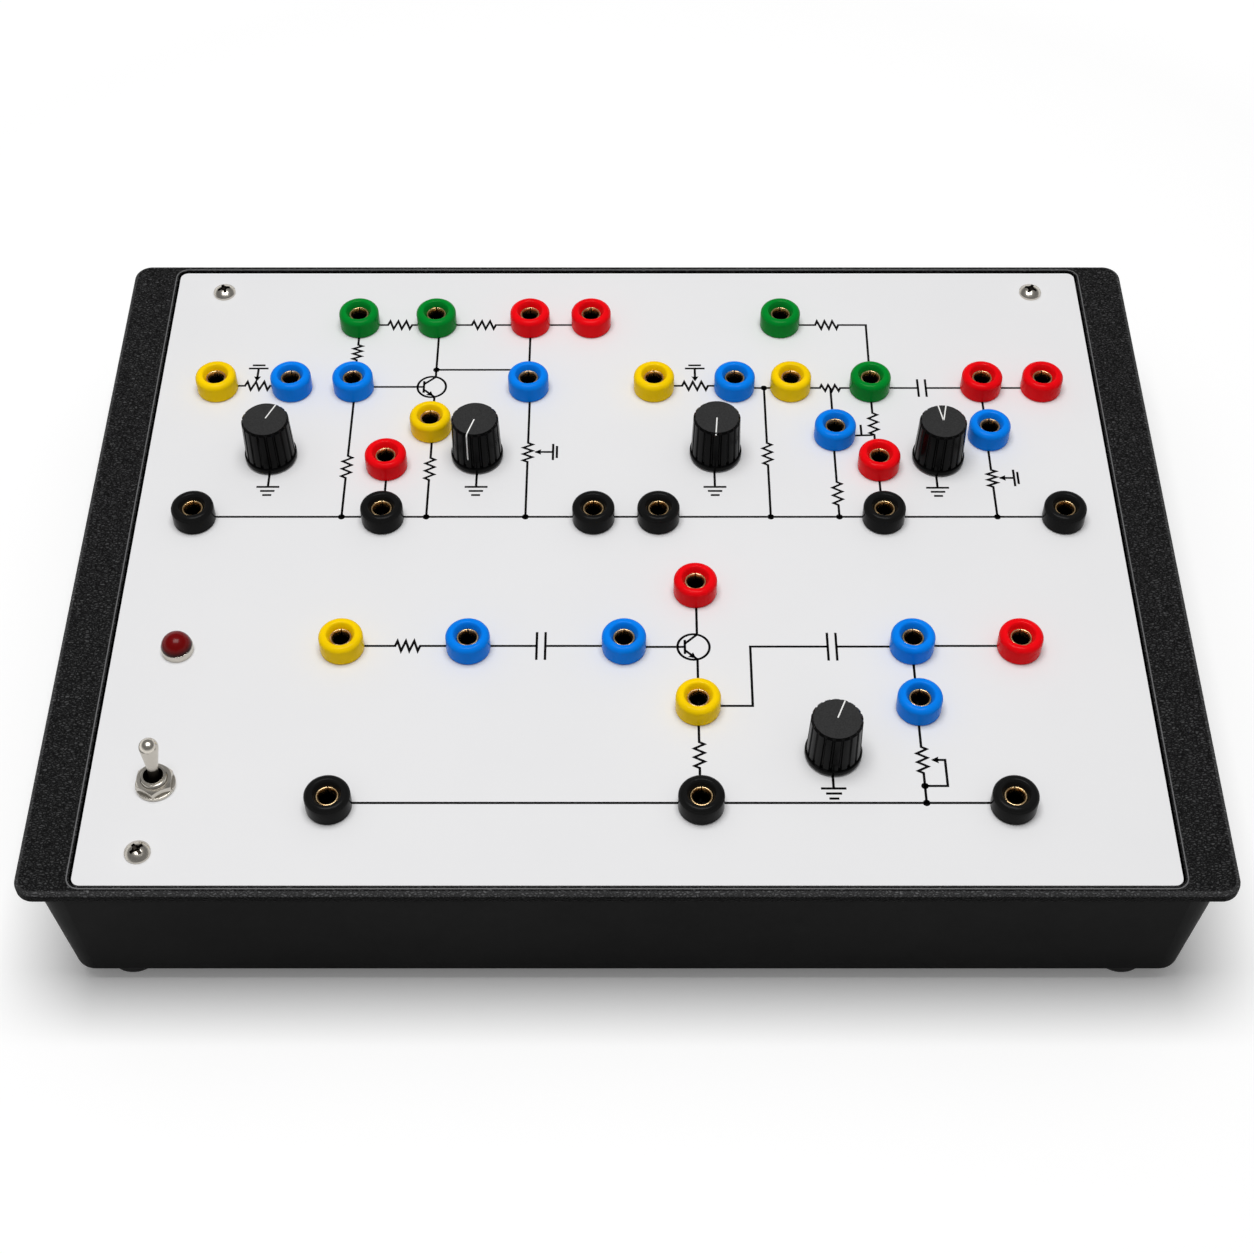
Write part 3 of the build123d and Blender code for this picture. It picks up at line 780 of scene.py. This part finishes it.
def transistor(centre, radius, base, collector, emitter):
    """A transistor sign with its lines out to the three ends given."""
    x, y = centre
    bar = x - 2.1
    out = x + 0.9
    rise = math.sqrt(radius**2 - 0.9**2)
    return [
        [base, (bar, y)],
        [(bar, y - 2.15), (bar, y + 2.15)],
        [(bar, y + 1.0), (out, y + rise), (out, collector)],
        [(bar, y - 1.0), (out, y - rise), (out, emitter)],
    ]


def circle(centre, radius, sides=48):
    turns = [2 * math.pi * k / sides for k in range(sides)]
    return [(centre[0] + radius * math.cos(a), centre[1] + radius * math.sin(a)) for a in turns]


def arrowhead(tip, way):
    """A filled arrowhead that points along a way, with a notch in its back."""
    along = Vector(way).normalized()
    across = Vector((-along.y, along.x)) * arrow_half_width
    tip = Vector(tip)
    back = tip - along * arrow_length
    corners = (tip, back + across, back + along * arrow_notch, back - across)
    return [tuple(corner) for corner in corners]


def first_circuit():
    """The common emitter stage at the upper left."""
    stage = (-52.4, 55.5)
    strokes = [
        resistor((-73.3, 79.1), (-52.2, 79.1), -65.7, -59.1),
        resistor((-52.2, 79.1), (-26.6, 79.1), -42.7, -36.1),
        [(-26.6, 79.1), (-9.9, 79.1)],
        resistor((-109.6, 55.9), (-89.7, 55.9), -102.5, -95.8),
        *wiper_above(-99.5, 58.2),
        resistor((-73.3, 79.2), (-73.3, 55.0), 71.4, 65.6, 1.15),
        *transistor(stage, 3.8, (-73.2, 55.5), 79.2, 40.3),
        [(-51.5, 61.9), (-26.5, 61.9)],
        [(-26.5, 79.2), (-26.5, 55.0)],
        resistor((-51.3, 40.3), (-51.3, 9.5), 29.8, 22.1, 1.2),
        resistor((-72.9, 55.0), (-72.9, 9.5), 30.5, 22.8, 1.2),
        [(-62.4, 27.0), (-62.4, 8.8)],
        resistor((-26.0, 55.0), (-26.0, 9.5), 35.1, 28.4, 1.2),
        *wiper_beside(-24.0, -19.4, 31.9),
        [(-110.2, 9.5), (-62.3, 9.5)],
        [(-62.3, 9.5), (-8.6, 9.5)],
        [(-8.6, 9.5), (7.9, 9.5)],
        *ground(-92.7, 30.4, 19.7),
        *ground(-39.0, 30.6, 19.7),
    ]
    rings = [circle(stage, 3.8)]
    dots = ((-51.5, 61.9), (-72.9, 9.5), (-51.3, 9.5), (-26.0, 9.5))
    fills = [
        *[circle(dot, dot_radius, 20) for dot in dots],
        arrowhead((-99.5, 57.6), (0, -1)),
        arrowhead((-24.3, 31.9), (-1, 0)),
        arrowhead((-51.8, 52.1), (0.76, -0.65)),
    ]
    return strokes, rings, fills


def second_circuit():
    """The stage with the coupling parts at the upper right."""
    strokes = [
        resistor((7.1, 55.9), (28.6, 55.9), 14.7, 21.6),
        *wiper_above(18.2, 58.2),
        [(28.6, 55.1), (43.6, 55.1)],
        resistor((43.6, 55.1), (64.8, 55.1), 51.6, 57.0, 1.1),
        *capacitor((64.8, 55.1), (94.5, 55.1), 78.9),
        [(94.5, 55.1), (110.6, 55.1)],
        resistor((36.6, 55.1), (36.6, 9.5), 35.1, 27.3, 1.2),
        [(54.4, 55.1), (54.4, 37.4)],
        resistor((54.1, 37.4), (54.1, 9.5), 21.4, 13.5, 1.2),
        [*resistor((41.8, 79.1), (65.5, 79.1), 51.6, 57.9), (65.2, 55.0)],
        resistor((65.0, 55.0), (65.0, 26.8), 45.9, 38.0, 1.2),
        [(54.4, 37.6), (64.6, 37.9)],
        [(61.6, 37.8), (61.6, 41.6)],
        [(65.2, 26.8), (65.2, 8.8)],
        [(94.6, 55.0), (94.6, 37.4)],
        resistor((94.4, 37.4), (94.4, 9.5), 25.6, 19.7, 1.2),
        *wiper_beside(96.4, 100.1, 22.8),
        [(7.9, 9.5), (65.2, 9.5)],
        [(65.2, 9.5), (111.0, 9.5)],
        *ground(22.6, 31.2, 19.7),
        *ground(80.0, 29.7, 19.4),
    ]
    dots = ((36.6, 55.1), (36.6, 9.5), (54.1, 9.5), (94.4, 9.5))
    fills = [
        *[circle(dot, dot_radius, 20) for dot in dots],
        arrowhead((18.2, 57.6), (0, -1)),
        arrowhead((96.1, 22.8), (-1, 0)),
    ]
    return strokes, [], fills


def third_circuit():
    """The stage along the lower part of the panel."""
    stage = (16.1, -32.3)
    strokes = [
        resistor((-69.3, -32.0), (-38.6, -32.0), -56.5, -50.4),
        *capacitor((-38.6, -32.0), (-0.8, -32.0), -21.0, 8.5),
        *transistor(stage, 3.9, (-0.8, -32.3), -15.0, -50.6),
        [(16.8, -50.0), (29.9, -50.0), (29.9, -32.2), (48.7, -32.2)],
        *capacitor((48.0, -32.2), (69.1, -32.2), 49.8, 8.5),
        [(69.1, -32.0), (95.2, -32.0)],
        [(69.2, -32.5), (69.2, -50.6)],
        resistor((69.0, -50.6), (69.0, -77.6), -61.9, -69.3, 1.2),
        [(71.4, -65.6), (74.3, -65.6), (74.3, -72.9), (69.0, -72.9)],
        resistor((16.9, -50.6), (16.9, -78.4), -60.5, -67.9, 1.2),
        [(-68.7, -77.6), (17.0, -77.6)],
        [(17.0, -77.6), (88.9, -77.6)],
        *ground(47.8, -63.8, -73.6),
    ]
    fills = [
        *[circle(dot, dot_radius, 20) for dot in ((69.0, -72.9), (69.0, -77.6))],
        arrowhead((71.0, -65.6), (-1, 0)),
        arrowhead((16.7, -35.8), (0.76, -0.65)),
    ]
    return strokes, [circle(stage, 3.9)], fills


def print_curve(name, outlines, cyclic, thickness):
    """Flat curve on the panel with one spline for each outline."""
    data = bpy.data.curves.new(name, "CURVE")
    data.dimensions = "2D"
    for outline in outlines:
        spline = data.splines.new("POLY")
        spline.points.add(len(outline) - 1)
        for point, (x, y) in zip(spline.points, outline):
            point.co = (x * mm, y * mm, 0.0, 1.0)
        spline.use_cyclic_u = cyclic
    curve = bpy.data.objects.new(name, data)
    bpy.context.scene.collection.objects.link(curve)
    curve.location.z = face + thickness / 2 - ink_sink
    return curve


def make_circuits():
    """Raised ink lines, dots and arrowheads, one piece for each printed circuit.

    A line that meets a socket runs on under its collar to the socket's middle.
    """
    thickness = ink_height + ink_sink
    across, up = ink_width / 2 / mm, thickness / 2 / mm
    corners = [(-across, -up), (across, -up), (across, up), (-across, up)]
    profile = print_curve("profile", [corners], True, 0.0)
    drawings = (first_circuit(), second_circuit(), third_circuit())
    for number, (strokes, rings, fills) in enumerate(drawings, start=1):
        curves = [print_curve("lines", strokes, False, thickness)]
        if rings:
            curves.append(print_curve("loops", rings, True, thickness))
        for curve in curves:
            curve.data.bevel_mode = "OBJECT"
            curve.data.bevel_object = profile
            curve.data.use_fill_caps = True
        shapes = print_curve("shapes", fills, True, thickness)
        shapes.data.fill_mode = "BOTH"
        shapes.data.extrude = thickness / 2
        curves.append(shapes)
        for curve in curves:
            pick_up(curve)
            bpy.ops.object.convert(target="MESH")
        ink = settle(join(f"printed_circuit_{number}", curves))
        dress(ink, finishes["ink_black"])
        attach(ink, "case")
    discard(profile)


# Finishes: shared effects as node groups, and one material for each finish


def add_node(tree, kind, inputs=None, **settings):
    """A node with its settings made and its inputs set, or linked where a socket is given."""
    node = tree.nodes.new(kind)
    for name, value in settings.items():
        setattr(node, name, value)
    for name, value in (inputs or {}).items():
        if isinstance(value, bpy.types.NodeSocket):
            tree.links.new(value, node.inputs[name])
        else:
            node.inputs[name].default_value = value
    return node


def new_group(name, inputs, outputs):
    """An empty shader node group of plain numbers, with its input and output nodes."""
    group = bpy.data.node_groups.new(name, "ShaderNodeTree")
    for label, value in inputs.items():
        socket = group.interface.new_socket(label, in_out="INPUT", socket_type="NodeSocketFloat")
        socket.default_value = value
    for label in outputs:
        group.interface.new_socket(label, in_out="OUTPUT", socket_type="NodeSocketFloat")
    given = add_node(group, "NodeGroupInput").outputs
    result = add_node(group, "NodeGroupOutput").inputs
    return group, given, result


def own_place(tree):
    """The place of each point in the piece's own coordinates, which are those of the frame."""
    return add_node(tree, "ShaderNodeTexCoord").outputs["Object"]


def upright_part(tree, vector):
    return add_node(tree, "ShaderNodeSeparateXYZ", {"Vector": vector}).outputs["Z"]


def worked_out(tree, operation, *numbers, clamp=False):
    """The result of one operation on numbers, which may be sockets."""
    inputs = dict(enumerate(numbers))
    node = add_node(tree, "ShaderNodeMath", inputs, operation=operation, use_clamp=clamp)
    return node.outputs["Value"]


def vector_work(tree, operation, inputs):
    node = add_node(tree, "ShaderNodeVectorMath", inputs, operation=operation)
    return node.outputs["Value" if operation == "LENGTH" else "Vector"]


def soft_step(tree, value, start, end, low=0.0, high=1.0):
    """A number that goes smoothly from low to high while a value goes from start to end."""
    inputs = {"Value": value, "From Min": start, "From Max": end, "To Min": low, "To Max": high}
    node = add_node(tree, "ShaderNodeMapRange", inputs, interpolation_type="SMOOTHSTEP")
    return node.outputs["Result"]


def make_leather_grain():
    """Pebbles parted by creases, a little longer across the tray than from front to back."""
    group, given, result = new_group("leather_grain", {"Scale": 900.0, "Wander": 0.5}, ["Height"])
    place = own_place(group)
    drift = add_node(
        group, "ShaderNodeTexNoise", {"Vector": place, "Scale": 700.0, "Detail": 2.0}
    ).outputs["Color"]
    stretched = vector_work(group, "MULTIPLY", {0: place, 1: (0.62, 1.15, 1.0)})
    scaled = vector_work(group, "SCALE", {0: stretched, "Scale": given["Scale"]})
    pushed = vector_work(group, "SCALE", {0: drift, "Scale": given["Wander"]})
    spot = vector_work(group, "ADD", {0: scaled, 1: pushed})
    cells = add_node(
        group, "ShaderNodeTexVoronoi", {"Vector": spot, "Scale": 1.0}, feature="DISTANCE_TO_EDGE"
    ).outputs["Distance"]
    group.links.new(soft_step(group, cells, 0.0, 0.5), result["Height"])
    return group


def make_fine_grain():
    """Small even grain of a spark-eroded mould."""
    group, given, result = new_group("fine_grain", {"Scale": 3000.0}, ["Height"])
    inputs = {
        "Vector": own_place(group),
        "Scale": given["Scale"],
        "Detail": 3.0,
        "Roughness": 0.6,
    }
    grain = add_node(group, "ShaderNodeTexNoise", inputs)
    group.links.new(grain.outputs["Fac"], result["Height"])
    return group


def make_handling():
    """Faint cloudy marks of use, as a number from 0 to 1."""
    group, given, result = new_group("handling", {"Scale": 60.0, "Contrast": 2.0}, ["Mark"])
    inputs = {
        "Vector": own_place(group),
        "Scale": given["Scale"],
        "Detail": 5.0,
        "Roughness": 0.65,
    }
    cloud = add_node(group, "ShaderNodeTexNoise", inputs).outputs["Fac"]
    centred = worked_out(group, "SUBTRACT", cloud, 0.5)
    mark = worked_out(group, "MULTIPLY_ADD", centred, given["Contrast"], 0.5, clamp=True)
    group.links.new(mark, result["Mark"])
    return group


def make_level():
    """A step from 0 to 1 at a height in the frame."""
    inputs = {"Height": 0.0, "Softness": 0.0002}
    group, given, result = new_group("level", inputs, ["Above"])
    height = upright_part(group, own_place(group))
    over = worked_out(group, "SUBTRACT", height, given["Height"])
    group.links.new(soft_step(group, over, 0.0, given["Softness"]), result["Above"])
    return group


def make_facing():
    """How far the surface faces up, and a mask that is 1 where it rolls over from level."""
    inputs = {"Low": 0.35, "High": 0.97}
    group, given, result = new_group("facing", inputs, ["Up", "Roll"])
    height = upright_part(group, add_node(group, "ShaderNodeTexCoord").outputs["Normal"])
    up = soft_step(group, height, 0.05, given["Low"])
    tilted = soft_step(group, height, given["High"], 0.9995, 1.0, 0.0)
    group.links.new(up, result["Up"])
    group.links.new(worked_out(group, "MULTIPLY", up, tilted), result["Roll"])
    return group


groups = {
    "leather_grain": make_leather_grain(),
    "fine_grain": make_fine_grain(),
    "handling": make_handling(),
    "level": make_level(),
    "facing": make_facing(),
}


def effect(tree, name, output=0, **values):
    """A shared effect placed in a material with its own values; one of its outputs."""
    node = add_node(tree, "ShaderNodeGroup", node_tree=groups[name])
    for label, value in values.items():
        node.inputs[label].default_value = value
    return node.outputs[output]


def blend_colour(tree, mask, low, high):
    """A colour between two others, which are colours or sockets.

    A Mix node takes its colours at inputs 6 and 7 and gives their blend at output 2.
    """
    node = add_node(tree, "ShaderNodeMix", data_type="RGBA")
    for index, value in ((0, mask), (6, low), (7, high)):
        if isinstance(value, bpy.types.NodeSocket):
            tree.links.new(value, node.inputs[index])
        else:
            node.inputs[index].default_value = (*value, 1.0) if index else value
    return node.outputs[2]


def spread(tree, value, low, high):
    """A number from 0 to 1 spread over another range."""
    inputs = {"Value": value, "To Min": low, "To Max": high}
    return add_node(tree, "ShaderNodeMapRange", inputs).outputs["Result"]


def raise_grain(tree, height, distance, normal=None):
    """A normal from a height, on top of another normal where one is given."""
    inputs = {"Height": height, "Distance": distance, "Strength": 1.0}
    if normal:
        inputs["Normal"] = normal
    return add_node(tree, "ShaderNodeBump", inputs).outputs["Normal"]


def new_material(name, specular=0.5, metallic=0.0, coat=0.0):
    """A material with the numbers that are the same all over it; its tree and shader inputs."""
    material = bpy.data.materials.new(name)
    material.use_nodes = True
    tree = material.node_tree
    shader = tree.nodes["Principled BSDF"].inputs
    shader["Specular IOR Level"].default_value = specular
    shader["Metallic"].default_value = metallic
    shader["Coat Weight"].default_value = coat
    return material, tree, shader


def shades(colour, change):
    """Two colours a little below and above one."""
    return [tuple(part * factor for part in colour) for factor in (1.0 - change, 1.0 + change)]


def moulded(name, colour, gloss, specular=0.045, grain=0.000004):
    """Plastic out of a mould: even colour, faint cloudy wear and a fine grain."""
    material, tree, shader = new_material(name, specular)
    mark = effect(tree, "handling", Scale=90.0, Contrast=2.5)
    tree.links.new(blend_colour(tree, mark, *shades(colour, 0.08)), shader["Base Color"])
    tree.links.new(spread(tree, mark, gloss, gloss + 0.09), shader["Roughness"])
    height = effect(tree, "fine_grain", Scale=3000.0)
    tree.links.new(raise_grain(tree, height, grain), shader["Normal"])
    return material


def metal(name, colour, gloss, grain_scale=2500.0, grain=0.000001):
    """Plated or bare metal with faint tarnish and a drawn or rolled skin."""
    material, tree, shader = new_material(name, metallic=1.0)
    mark = effect(tree, "handling", Scale=220.0, Contrast=1.4)
    tree.links.new(blend_colour(tree, mark, *shades(colour, 0.1)), shader["Base Color"])
    tree.links.new(spread(tree, mark, gloss, gloss + 0.08), shader["Roughness"])
    height = effect(tree, "fine_grain", Scale=grain_scale)
    tree.links.new(raise_grain(tree, height, grain), shader["Normal"])
    return material


def socket_brass():
    """Gilt brass of the sleeves, with painted shade that turns it near black down in the bore."""
    material, tree, shader = new_material("brass", metallic=1.0)
    mark = effect(tree, "handling", Scale=500.0, Contrast=2.0)
    bright = blend_colour(tree, mark, (0.62, 0.36, 0.14), (0.98, 0.76, 0.44))
    # Painted shade: below this height the brass colour gives way to near black down the bore.
    shade_start = face + head_height - mouth_depth - bore_shade_depth
    above = effect(tree, "level", Height=shade_start, Softness=0.0014)
    tree.links.new(blend_colour(tree, above, (0.008, 0.005, 0.003), bright), shader["Base Color"])
    tree.links.new(spread(tree, mark, 0.18, 0.34), shader["Roughness"])
    return material


def knob_plastic():
    """Glossy black of the fluted sides, with a grained satin disc let into the top."""
    material, tree, shader = new_material("knob_black", specular=0.06)
    disc = effect(tree, "level", Height=face + knob_rise - 2.5 * disc_sink, Softness=0.00004)
    grain = effect(tree, "fine_grain", Scale=3200.0)
    satin = blend_colour(tree, grain, (0.013, 0.013, 0.013), (0.050, 0.050, 0.0505))
    black = blend_colour(tree, disc, (0.0022, 0.0022, 0.0023), satin)
    tree.links.new(black, shader["Base Color"])
    tree.links.new(spread(tree, disc, 0.2, 0.55), shader["Roughness"])
    height = worked_out(tree, "MULTIPLY", grain, disc)
    tree.links.new(raise_grain(tree, height, 0.00005), shader["Normal"])
    return material


def leathered_black():
    """Black moulding with a leather grain on its rim and a fine satin grain on its walls, and painted highlights
    on its pebbles and its rolled edges.
    """
    material, tree, shader = new_material("case_black", specular=0.03)
    rim = effect(tree, "level", Height=tray_top - rim_height, Softness=0.0003)
    pebbles = effect(tree, "leather_grain", Scale=1600.0, Wander=2.2)
    mark = effect(tree, "handling", Scale=35.0, Contrast=1.6)
    # Pebble tops lighter than the creases: partly the grain's tone, partly painted highlights of light caught on
    # the pebbles.
    leather = blend_colour(tree, pebbles, (0.004, 0.004, 0.0041), (0.078, 0.0782, 0.0797))
    walls = blend_colour(tree, mark, (0.0008, 0.0008, 0.0008), (0.0016, 0.0016, 0.0017))
    up = effect(tree, "facing", "Up", Low=0.5)
    rolled = effect(tree, "facing", "Roll", Low=0.5, High=0.985)
    # Painted highlight: a much lighter colour along the rim's rolled edges where they catch the light.
    painted_edge_highlight = blend_colour(tree, pebbles, (0.03, 0.03, 0.0304), (0.15, 0.15, 0.153))
    skin = blend_colour(tree, up, walls, blend_colour(tree, rolled, leather, painted_edge_highlight))
    tree.links.new(blend_colour(tree, rim, walls, skin), shader["Base Color"])
    tree.links.new(spread(tree, mark, 0.44, 0.56), shader["Roughness"])
    fine = raise_grain(tree, effect(tree, "fine_grain", Scale=2600.0), 0.00003)
    height = worked_out(tree, "MULTIPLY", pebbles, rim)
    tree.links.new(raise_grain(tree, height, 0.00026, fine), shader["Normal"])
    return material


def coated_panel():
    """Pale powder-coated panel, with a faint cloud of handling."""
    material, tree, shader = new_material("panel_grey", specular=0.2)
    mark = effect(tree, "handling", Scale=16.0, Contrast=1.4)
    pale = blend_colour(tree, mark, (0.795, 0.795, 0.805), (0.825, 0.823, 0.830))
    tree.links.new(pale, shader["Base Color"])
    tree.links.new(spread(tree, mark, 0.42, 0.52), shader["Roughness"])
    height = effect(tree, "fine_grain", Scale=1800.0)
    tree.links.new(raise_grain(tree, height, 0.000012), shader["Normal"])
    return material


def lamp_red():
    """Deep red glassy plastic of the pilot lamp, with painted light on its crown and painted shade towards its
    foot.
    """
    material, tree, shader = new_material("lens_red", specular=0.14, coat=0.04)
    # Painted light on the crown of the dome and painted shade towards its foot.
    crown_light = effect(tree, "level", Height=face + bezel_height, Softness=0.6 * lens_rise)
    red = blend_colour(tree, crown_light, (0.02, 0.0003, 0.0005), (0.16, 0.001, 0.0015))
    tree.links.new(red, shader["Base Color"])
    mark = effect(tree, "handling", Scale=300.0, Contrast=1.5)
    tree.links.new(spread(tree, mark, 0.2, 0.27), shader["Roughness"])
    return material


def wound_copper():
    """Enamelled wire of a coil, seen as fine level turns."""
    material, tree, shader = new_material("winding", specular=0.5)
    inputs = {"Vector": own_place(tree), "Scale": 640.0, "Distortion": 0.3, "Detail": 1.0}
    turns = add_node(tree, "ShaderNodeTexWave", inputs, bands_direction="Z").outputs["Fac"]
    wire = blend_colour(tree, turns, (0.16, 0.05, 0.012), (0.62, 0.25, 0.07))
    tree.links.new(wire, shader["Base Color"])
    tree.links.new(spread(tree, turns, 0.5, 0.3), shader["Roughness"])
    tree.links.new(raise_grain(tree, turns, 0.0001), shader["Normal"])
    return material


# Camera, floor and light


def make_camera():
    """The camera that sees the panel as the photograph does, from in front and above."""
    data = bpy.data.cameras.new("camera")
    camera = bpy.data.objects.new("camera", data)
    bpy.context.scene.collection.objects.link(camera)
    data.lens = camera_lens
    data.shift_x = camera_shift
    camera.location = (0.0, -camera_back, face + camera_height)
    camera.rotation_euler.x = math.radians(camera_tilt)
    bpy.context.scene.camera = camera


def seen_directly(tree):
    """1 for rays that show the backdrop itself: to the camera, off gloss and through glass."""
    rays = add_node(tree, "ShaderNodeLightPath").outputs
    seen = rays["Is Camera Ray"]
    for kind in ("Is Glossy Ray", "Is Transmission Ray"):
        seen = worked_out(tree, "MAXIMUM", seen, rays[kind])
    return seen


def make_floor():
    """White floor under the tray, that runs out to plain white away from it."""
    bpy.ops.object.select_all(action="DESELECT")
    bpy.ops.mesh.primitive_plane_add(size=floor_size)
    floor = named(bpy.context.object, "floor")
    material, tree, shader = new_material("floor_white", specular=0.0)
    mark = effect(tree, "handling", Scale=2.0, Contrast=1.0)
    pale = blend_colour(tree, mark, (0.97, 0.97, 0.97), (0.985, 0.985, 0.985))
    tree.links.new(pale, shader["Base Color"])
    shader["Roughness"].default_value = 0.9
    shader["Emission Color"].default_value = (1.0, 1.0, 1.0, 1.0)
    away = vector_work(tree, "LENGTH", {0: own_place(tree)})
    reach = {"Value": away, "From Min": glow_start, "From Max": glow_end, "To Min": floor_glow}
    glow = add_node(tree, "ShaderNodeMapRange", reach).outputs["Result"]
    shown = worked_out(tree, "MULTIPLY", glow, seen_directly(tree))
    tree.links.new(shown, shader["Emission Strength"])
    dress(floor, material)


def make_lights():
    """A soft lamp overhead, in a room with a white wall all round and a dim ceiling."""
    bpy.context.scene.view_settings.view_transform = "Standard"
    world = bpy.data.worlds.new("studio")
    bpy.context.scene.world = world
    world.use_nodes = True
    tree = world.node_tree
    way = add_node(tree, "ShaderNodeTexCoord").outputs["Generated"]
    height = upright_part(tree, way)
    sky = soft_step(tree, height, 0.1, 0.9, 0.06, 0.36)
    wall = soft_step(tree, height, 0.18, 0.42, 1.0, 0.2)
    # A Mix node takes its numbers at inputs 2 and 3
    shares = {0: seen_directly(tree), 2: sky, 3: wall}
    strength = add_node(tree, "ShaderNodeMix", shares, data_type="FLOAT").outputs[0]
    background = tree.nodes["Background"].inputs
    background["Color"].default_value = (1.0, 1.0, 1.0, 1.0)
    tree.links.new(strength, background["Strength"])
    lamp_data = bpy.data.lights.new("overhead", "AREA")
    lamp_data.shape = "RECTANGLE"
    lamp_data.size = lamp_width
    lamp_data.size_y = lamp_depth
    lamp_data.energy = lamp_power
    lamp = bpy.data.objects.new("overhead", lamp_data)
    lamp.location = lamp_place
    lamp.rotation_euler = [math.radians(turn) for turn in lamp_turns]
    bpy.context.scene.collection.objects.link(lamp)


finishes = {
    "case_black": leathered_black(),
    # The bead's light grey is a painted highlight along the raised line.
    "bead_painted_highlight": moulded("bead_painted_highlight", (0.13, 0.13, 0.133), 0.35, 0.3),
    "panel_grey": coated_panel(),
    "plastic_red": moulded("plastic_red", (0.86, 0.003, 0.007), 0.13),
    "plastic_yellow": moulded("plastic_yellow", (0.97, 0.64, 0.0015), 0.13),
    "plastic_blue": moulded("plastic_blue", (0.002, 0.215, 0.86), 0.13),
    "plastic_green": moulded("plastic_green", (0.001, 0.235, 0.025), 0.13),
    "plastic_black": moulded("plastic_black", (0.009, 0.009, 0.009), 0.13, 0.04),
    "brass": socket_brass(),
    "nickel": metal("nickel", (0.6, 0.565, 0.505), 0.2),
    # A dark metal colour that is painted shade inside recesses.
    "recess_painted_shade": metal("recess_painted_shade", (0.05, 0.043, 0.035), 0.4),
    "knob_black": knob_plastic(),
    "pointer_white": moulded("pointer_white", (0.85, 0.85, 0.83), 0.45),
    "ink_black": moulded("ink_black", (0.003, 0.003, 0.0032), 0.55, 0.04),
    "lens_red": lamp_red(),
    "rubber": moulded("rubber", (0.008, 0.008, 0.008), 0.65, 0.2, 0.00005),
    "zinc": metal("zinc", (0.6, 0.6, 0.62), 0.32),
    "aluminium": metal("aluminium", (0.75, 0.75, 0.76), 0.28),
    "core_steel": metal("core_steel", (0.22, 0.22, 0.23), 0.45, 4000.0, 0.00003),
    "winding": wound_copper(),
    "board_green": moulded("board_green", (0.012, 0.14, 0.05), 0.3, 0.4),
}
slots = {part["node"]: part["material_slot"] for part in frame["record"]["subparts"]}

make_camera()
make_floor()
make_lights()
make_sockets()
make_knobs()
make_switch()
make_lamp()
make_screws()
make_bead()
make_circuits()
for node, piece in frame["nodes"].items():
    dress(piece, finishes[slots[node]])
